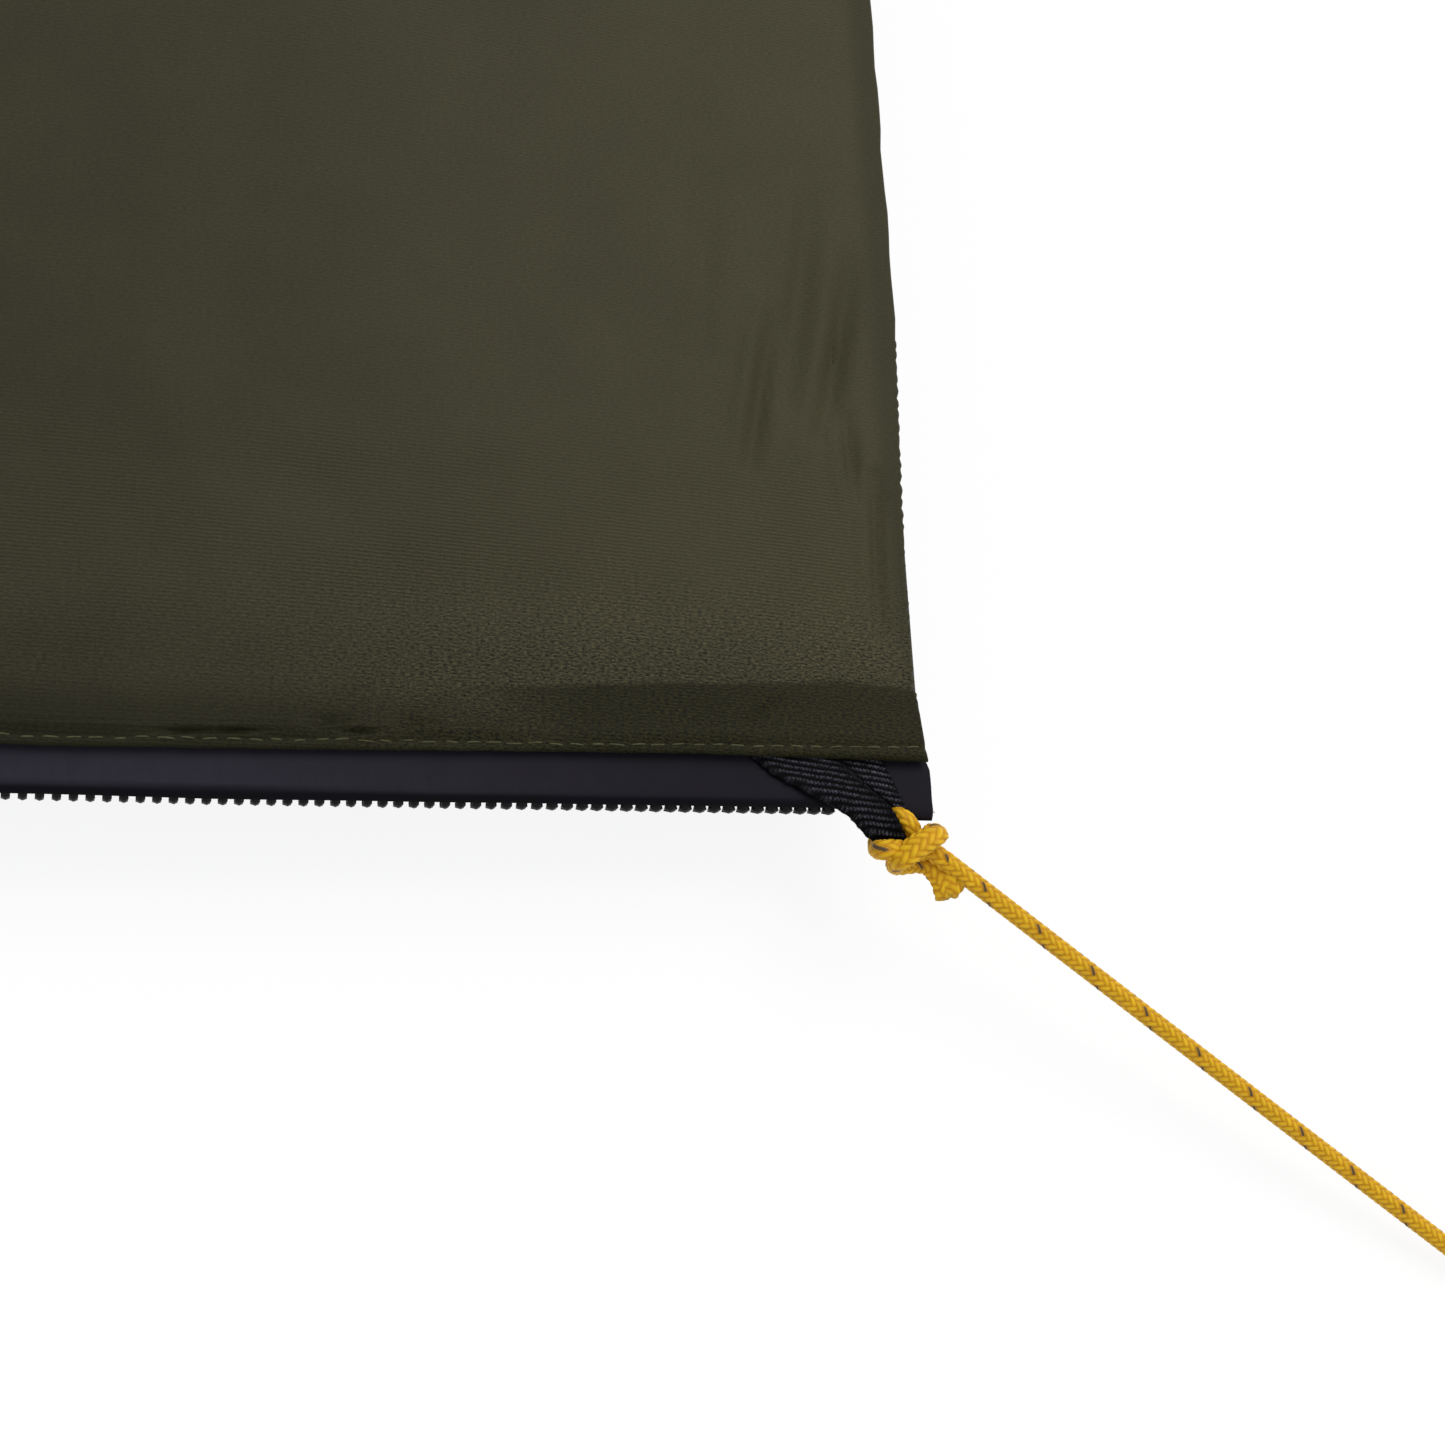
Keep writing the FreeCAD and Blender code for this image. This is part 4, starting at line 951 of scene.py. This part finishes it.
# Drawn polyester monofilament, dyed black: smooth and glossy, so each turn has a bright rim.
filament, shader, drawn, _ = mottled(
    "black_polyester_filament", "#050506", "#0f0f11", {"Scale": 900.0, "Detail": 2.0}
)
gloss = add(filament, "MapRange", {"To Min": 0.26, "To Max": 0.40, "Value": drawn})
add(filament, shader, {"Specular IOR Level": 0.13, "Roughness": gloss})
for each in (coil_foot_top, coil_foot_ground, coil_side_top, coil_side_ground):
    each.data.materials.append(filament)


# ---- webbing loops -------------------------------------------------------------------
# Short lengths of black polyester webbing, sewn in flat under the hems at the corners. At
# the tied corner the line draws both legs together, and their twill ribs lie across them.

rib_pitch = 0.84
yarn_pitch = 0.52
half_webbing = 3.15
drawn_thickness, open_thickness = 1.1, 1.05


def ribbon(name, lefts, rights, thickness, rows, columns, relief, painted_shade_reach=0.9, tone=1.0):
    """A strip of webbing between two edges, with relief(x, y, across, along) on its face. A
    highlight is painted on its high yarns; painted shade darkens them near its edges, over the
    reach given, and tone darkens all of them as painted shade."""
    lefts, rights = np.array(lefts, float), np.array(rights, float)
    run = run_along((lefts + rights) / 2)
    at = np.linspace(0, run[-1], rows)

    def smooth(edge):
        lines = []
        for axis in range(3):
            line = np.interp(at, run, edge[:, axis])
            for _ in range(max(1, rows // 40)):
                line[1:-1] = (line[:-2] + 2 * line[1:-1] + line[2:]) / 4
            lines.append(line)
        return np.stack(lines, axis=-1)

    left, right = smooth(lefts), smooth(rights)
    share = np.linspace(0, 1, columns)[None, :, None]
    face = left[:, None, :] * (1 - share) + right[:, None, :] * share
    ahead, aside = np.gradient(face, axis=0), np.gradient(face, axis=1)
    normal = np.cross(ahead, aside)
    normal /= np.linalg.norm(normal, axis=-1)[..., None]
    aside = aside / np.linalg.norm(aside, axis=-1)[..., None]
    width = np.linalg.norm(right - left, axis=-1)[:, None]
    across = share[..., 0] * width
    along = np.broadcast_to(at[:, None], across.shape)
    edge = np.minimum(across, width - across)
    rolled = np.sqrt(np.clip(1 - (1 - np.clip(edge / (thickness / 2), 0, 1)) ** 2, 0, 1))
    bumps = relief(face[..., 0], face[..., 1], across, along)
    at_edge = np.sign(share - 0.5) * np.clip(1 - edge / 0.5, 0, 1)[..., None]
    face = face + aside * at_edge * bumps[..., None] * 0.6
    bumps = bumps * np.clip(edge / 0.2, 0, 1)
    lift = normal * (thickness / 2 * rolled + bumps)[..., None]
    # Painted light on the ribs: high yarns lighter; darker near the edges and by tone, as painted
    # shade.
    rib_light_and_shade = tone * bumps * (0.25 + 0.75 * ease(0.05, painted_shade_reach, edge)) / bumps.max()

    def both_sides(upper, lower):
        return np.concatenate([upper, lower[:, -2:0:-1]], axis=1)

    ring = both_sides(face + lift, face - lift)
    flats = np.stack([across, along], axis=-1)
    piece = piece_of(name, ring, skin(rows, ring.shape[1]), both_sides(flats, flats))
    mark(piece, "painted_rib_light", both_sides(rib_light_and_shade, rib_light_and_shade))
    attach(piece, "sack")
    return piece


def drawn_ribs(x, y, across, along):
    """Twill ribs that lie across the sack on both drawn legs, broken by yarns."""
    turned_up = 0.17 * np.clip(2.1 - across, 0, 2.1) ** 2
    rib = (y + 0.17 * x + turned_up + 0.16 * ripple(x, y, 3.2, 2.1, 4.9)) / rib_pitch
    yarn = (x * 0.9 - y * 0.55) / yarn_pitch + 0.5 * np.floor(rib)
    coarse = (0.5 + 0.5 * np.cos(2 * math.pi * rib)) ** 1.9
    return 0.32 * coarse * (0.54 + 0.46 * np.cos(2 * math.pi * yarn))


left_leg_low = [
    (366.8, -1092.5, 19.7), (370.0, -1096.6, 19.7), (373.4, -1100.2, 19.9),
    (377.0, -1103.2, 20.0), (381.5, -1105.4, 20.1), (386.0, -1107.6, 20.0),
    (388.0, -1108.8, 19.9), (390.1, -1110.9, 19.4), (391.7, -1111.9, 18.8),
    (393.4, -1113.2, 18.2), (395.0, -1114.0, 18.2),
]
left_leg_high = [
    (379.8, -1092.0, 20.0), (382.2, -1095.8, 20.2), (385.1, -1099.6, 20.4),
    (387.8, -1102.4, 20.8), (391.0, -1105.2, 21.2), (393.6, -1107.4, 21.5),
    (394.4, -1108.8, 21.7), (395.2, -1110.6, 21.5), (396.2, -1112.0, 20.6),
    (396.6, -1112.8, 19.4), (396.8, -1113.4, 18.6),
]
# Painted shade: the left leg is darker all over and far in from its edges.
left_leg = ribbon(
    "tied_loop_left_leg", left_leg_low, left_leg_high, drawn_thickness, 220, 100,
    drawn_ribs, painted_shade_reach=2.4, tone=0.72,
)
right_leg_low = [
    (381.4, -1092.0, 19.4), (383.6, -1095.6, 19.5), (386.3, -1099.6, 19.5),
    (389.4, -1102.9, 19.5), (392.8, -1105.8, 19.6), (394.9, -1107.4, 19.7),
    (395.6, -1108.6, 19.6), (395.8, -1110.2, 19.2), (396.0, -1111.6, 18.6),
    (396.4, -1112.6, 18.0), (396.8, -1113.2, 17.8),
]
right_leg_high = [
    (390.9, -1092.0, 19.5), (391.9, -1095.6, 19.6), (393.1, -1099.6, 19.8),
    (394.7, -1102.9, 19.8), (396.1, -1106.2, 19.9), (397.0, -1107.9, 20.0),
    (397.9, -1109.1, 20.0), (398.0, -1110.6, 19.4), (397.9, -1112.0, 18.8),
    (397.8, -1112.8, 18.2), (397.6, -1113.4, 18.0),
]
right_leg = ribbon(
    "tied_loop_right_leg", right_leg_low, right_leg_high, drawn_thickness, 180, 70,
    lambda x, y, across, along: drawn_ribs(x, y, across + 3, along), painted_shade_reach=1.0,
)
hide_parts("loop_foot_right")


def flat_ribs(x, y, across, along):
    """Herringbone ribs that turn at the middle of the webbing."""
    rib = (along * 0.75 + abs(across - 3.2) * 0.66) / rib_pitch
    return 0.16 * (0.5 + 0.5 * np.cos(2 * math.pi * rib))


def open_loop(name, middle, base, way, level):
    """An untied loop: both legs lie flat at the hem, and its bend stands on its edge."""
    edges = [[], []]
    for share in np.linspace(0, 1, 61):
        angle = math.pi * np.clip((share - 0.36) / 0.28, 0, 1)
        from_hem = min(share, 1 - share)
        if from_hem < 0.36:
            out = 6.2 - 2.8 * (from_hem / 0.36) ** 1.6
            place = (-out if share < 0.5 else out, -8 + 20.5 * from_hem / 0.36)
        else:
            place = (-3.4 * math.cos(angle), 12.5 + 4.2 * math.sin(angle))
        lean = math.radians(84) * float(ease(0.10, 0.40, from_hem))
        flat_reach = half_webbing * math.cos(lean)
        wide = np.array((
            math.cos(angle) * flat_reach, -math.sin(angle) * flat_reach,
            half_webbing * math.sin(lean),
        ))
        centre = np.array((*place, 0.9 * math.sin(lean)))
        for edge, sign in zip(edges, (-1, 1)):
            x, y, z = centre + sign * wide
            edge.append((middle + x, base + way * y, level + z))
    return ribbon(name, *edges, open_thickness, 150, 26, flat_ribs)


loop_foot_left = open_loop("loop_foot_left_webbing", -386.0, -1100.0, -1, 19.7)
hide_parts("loop_foot_left")
loop_head_right = open_loop("loop_head_right_webbing", 386.0, 1100.0, 1, 2.9)
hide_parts("loop_head_right")
loop_head_left = open_loop("loop_head_left_webbing", -386.0, 1100.0, 1, 2.9)
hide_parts("loop_head_left")

# Polyester webbing, dyed black: twill ribs of twisted yarn, dull. Its high yarns get a painted
# highlight, grey, and painted shade keeps the grooves, the edges and the left tied leg near black.
webbing, shader = new_material("black_polyester_webbing")
place = add(webbing, "TexCoord", out="Object")
yarn_turn = add(webbing, "VectorRotate", {
    "rotation_type": "Z_AXIS", "Angle": -1.05, "Vector": place,
})
yarn_lean = add(webbing, "Mapping", {"Scale": (1100, 3200, 1100), "Vector": yarn_turn})
yarn = add(webbing, "TexNoise", {
    "Scale": 1.0, "Detail": 3.0, "Roughness": 0.65, "Vector": yarn_lean,
})
painted_rib_light = add(webbing, "Attribute", {"attribute_name": "painted_rib_light"}, out="Fac")
yarn_light = add(webbing, "MapRange", {
    "From Min": 0.36, "From Max": 0.62, "To Min": 0.10, "Value": yarn,
})
high_yarn = add(webbing, "Math", {"operation": "MULTIPLY", 0: painted_rib_light, 1: yarn_light})
# Painted highlight on the high yarns, painted shade in the grooves between them.
yarn_tone = add(webbing, "Mix", {
    "data_type": "RGBA", 0: high_yarn, 6: colour("#020203"), 7: colour("#74747f"),
}, out=2)
yarn_bump = add(webbing, "Bump", {"Strength": 0.8, "Distance": 0.00012, "Height": yarn})
add(webbing, shader, {
    "Roughness": 0.7, "Specular IOR Level": 0.05, "Base Color": yarn_tone, "Normal": yarn_bump,
})
for each in (left_leg, right_leg, loop_foot_left, loop_head_right, loop_head_left):
    each.data.materials.append(webbing)


# ---- sewing thread -------------------------------------------------------------------
# Lockstitches of pale olive polyester thread, 2.87 mm apart, along the foot and head hems.
# Each one is a short slack length that dips into the cloth at both ends.

stitch_pitch = 2.87
stitch_length = 2.9
thread_radius = 0.14
bpy.ops.object.select_all(action="DESELECT")
bpy.ops.mesh.primitive_cylinder_add(
    vertices=6, radius=thread_radius * MM, depth=stitch_length * MM, rotation=(0, math.pi / 2, 0)
)
one_stitch = bpy.context.object
bpy.ops.object.transform_apply(location=True, rotation=True, scale=True)
bpy.ops.object.mode_set(mode="EDIT")
for cut in (-1.2, -0.8, -0.3, 0.3, 0.8, 1.2):
    bpy.ops.mesh.select_all(action="SELECT")
    bpy.ops.mesh.bisect(plane_co=(cut * MM, 0, 0), plane_no=(1, 0, 0))
bpy.ops.object.mode_set(mode="OBJECT")
for vertex in one_stitch.data.vertices:
    share = abs(vertex.co.x) / (stitch_length / 2 * MM)
    vertex.co.z = vertex.co.z * (1 - 0.45 * share ** 3) - 0.36 * MM * share ** 3
    vertex.co.y *= 1 - 0.45 * share ** 3


def sew(name, spots):
    """Copies of the one stitch at each (x, y, z, heading, slope), as one piece."""
    base = points_of(one_stitch.data) / MM
    picks = random.Random(5)
    points = []
    for x, y, z, heading, slope in spots:
        size = picks.uniform(0.72, 0.98)
        turn = heading + picks.uniform(-0.12, 0.12)
        local = base * np.array((size, picks.uniform(0.8, 1.1), 1.0))
        cos, sin = math.cos(turn), math.sin(turn)
        points.append(np.stack([
            local[:, 0] * cos - local[:, 1] * sin + x + picks.uniform(-0.15, 0.15),
            local[:, 0] * sin + local[:, 1] * cos + y + picks.uniform(-0.13, 0.13),
            local[:, 2] + local[:, 0] * slope + z,
        ], axis=-1))
    faces = [tuple(face.vertices) for face in one_stitch.data.polygons]
    piece = piece_of(name, np.concatenate(points), copies(points, faces), closed=False)
    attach(piece, "sack")
    return piece


def hem_spots(line_y, low, high):
    """Places for stitches along a hem of the top cloth that runs across the sack."""
    xs = np.arange(low, high, stitch_pitch)
    ys = line_y(xs)
    zs = cloth_top(xs, ys)
    return zip(xs, ys, zs + 0.09, np.arctan(np.gradient(ys, xs)), np.gradient(zs, xs))


foot_stitches = sew("foot_hem_stitches", hem_spots(foot_stitch_line, -397.5, 397.5))
head_stitches = sew("head_hem_stitches", hem_spots(lambda x: 0 * x + 1096.6, -397.5, 397.5))
loose_end = sew("tape_corner_thread", [(400.0, -1107.6, 19.35, -0.2, 0.05)])
bpy.data.objects.remove(one_stitch)

# Spun polyester thread, dyed a shade paler than the cloth: matt and hairy.
thread, shader, _, _ = mottled(
    "olive_polyester_thread", "#2b2c1c", "#5d5d40", {"Scale": 2600.0, "Detail": 3.0}
)
add(thread, shader, {"Roughness": 0.8, "Specular IOR Level": 0.15})
foot_stitches.data.materials.append(thread)
head_stitches.data.materials.append(thread)
# The end of the tape's own warp thread, undyed.
undyed, shader, _, _ = mottled(
    "undyed_polyester_thread", "#b9b7b0", "#e4e2da", {"Scale": 3000.0, "Detail": 2.0}
)
add(undyed, shader, {"Roughness": 0.8})
loose_end.data.materials.append(undyed)


# ---- sliders, pullers and zip ends ---------------------------------------------------
# Sliders and pullers are zinc die castings, tumbled and painted black. Stops, pin and
# retainer box are acetal, moulded straight on the tapes. All are the solids themselves.

# Black paint on zinc: half glossy, in a slight orange peel, with worn patches a little paler.
painted_zinc, shader, wear, place = mottled(
    "black_painted_zinc", "#151518", "#2a2a2e", {"Scale": 420.0, "Detail": 5.0, "Roughness": 0.7}
)
orange_peel = add(painted_zinc, "TexNoise", {"Scale": 1500.0, "Detail": 3.0, "Vector": place})
coat_bump = add(painted_zinc, "Bump", {
    "Strength": 0.3, "Distance": 0.00003, "Height": orange_peel,
})
coat_gloss = add(painted_zinc, "MapRange", {"To Min": 0.30, "To Max": 0.46, "Value": wear})
add(painted_zinc, shader, {"Normal": coat_bump, "Roughness": coat_gloss})

# Moulded acetal: satin, with the fine spark-eroded grain of its mould.
acetal, shader, spark, _ = mottled(
    "black_moulded_acetal", "#0e0e10", "#1b1b1e", {"Scale": 2400.0, "Detail": 2.0}
)
moulded_bump = add(acetal, "Bump", {"Strength": 0.25, "Distance": 0.00004, "Height": spark})
add(acetal, shader, {"Roughness": 0.45, "Normal": moulded_bump})
for names, finish in (
    (("foot_zip_slider", "foot_zip_puller", "side_zip_slider", "side_zip_puller"), painted_zinc),
    (("foot_zip_stop_top", "foot_zip_stop_ground", "side_zip_foot_stop", "side_zip_head_stop_top",
      "side_zip_head_stop_ground", "foot_zip_pin", "foot_zip_retainer_box"), acetal),
):
    for name in names:
        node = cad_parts[name]
        node.data.materials.clear()
        node.data.materials.append(finish)
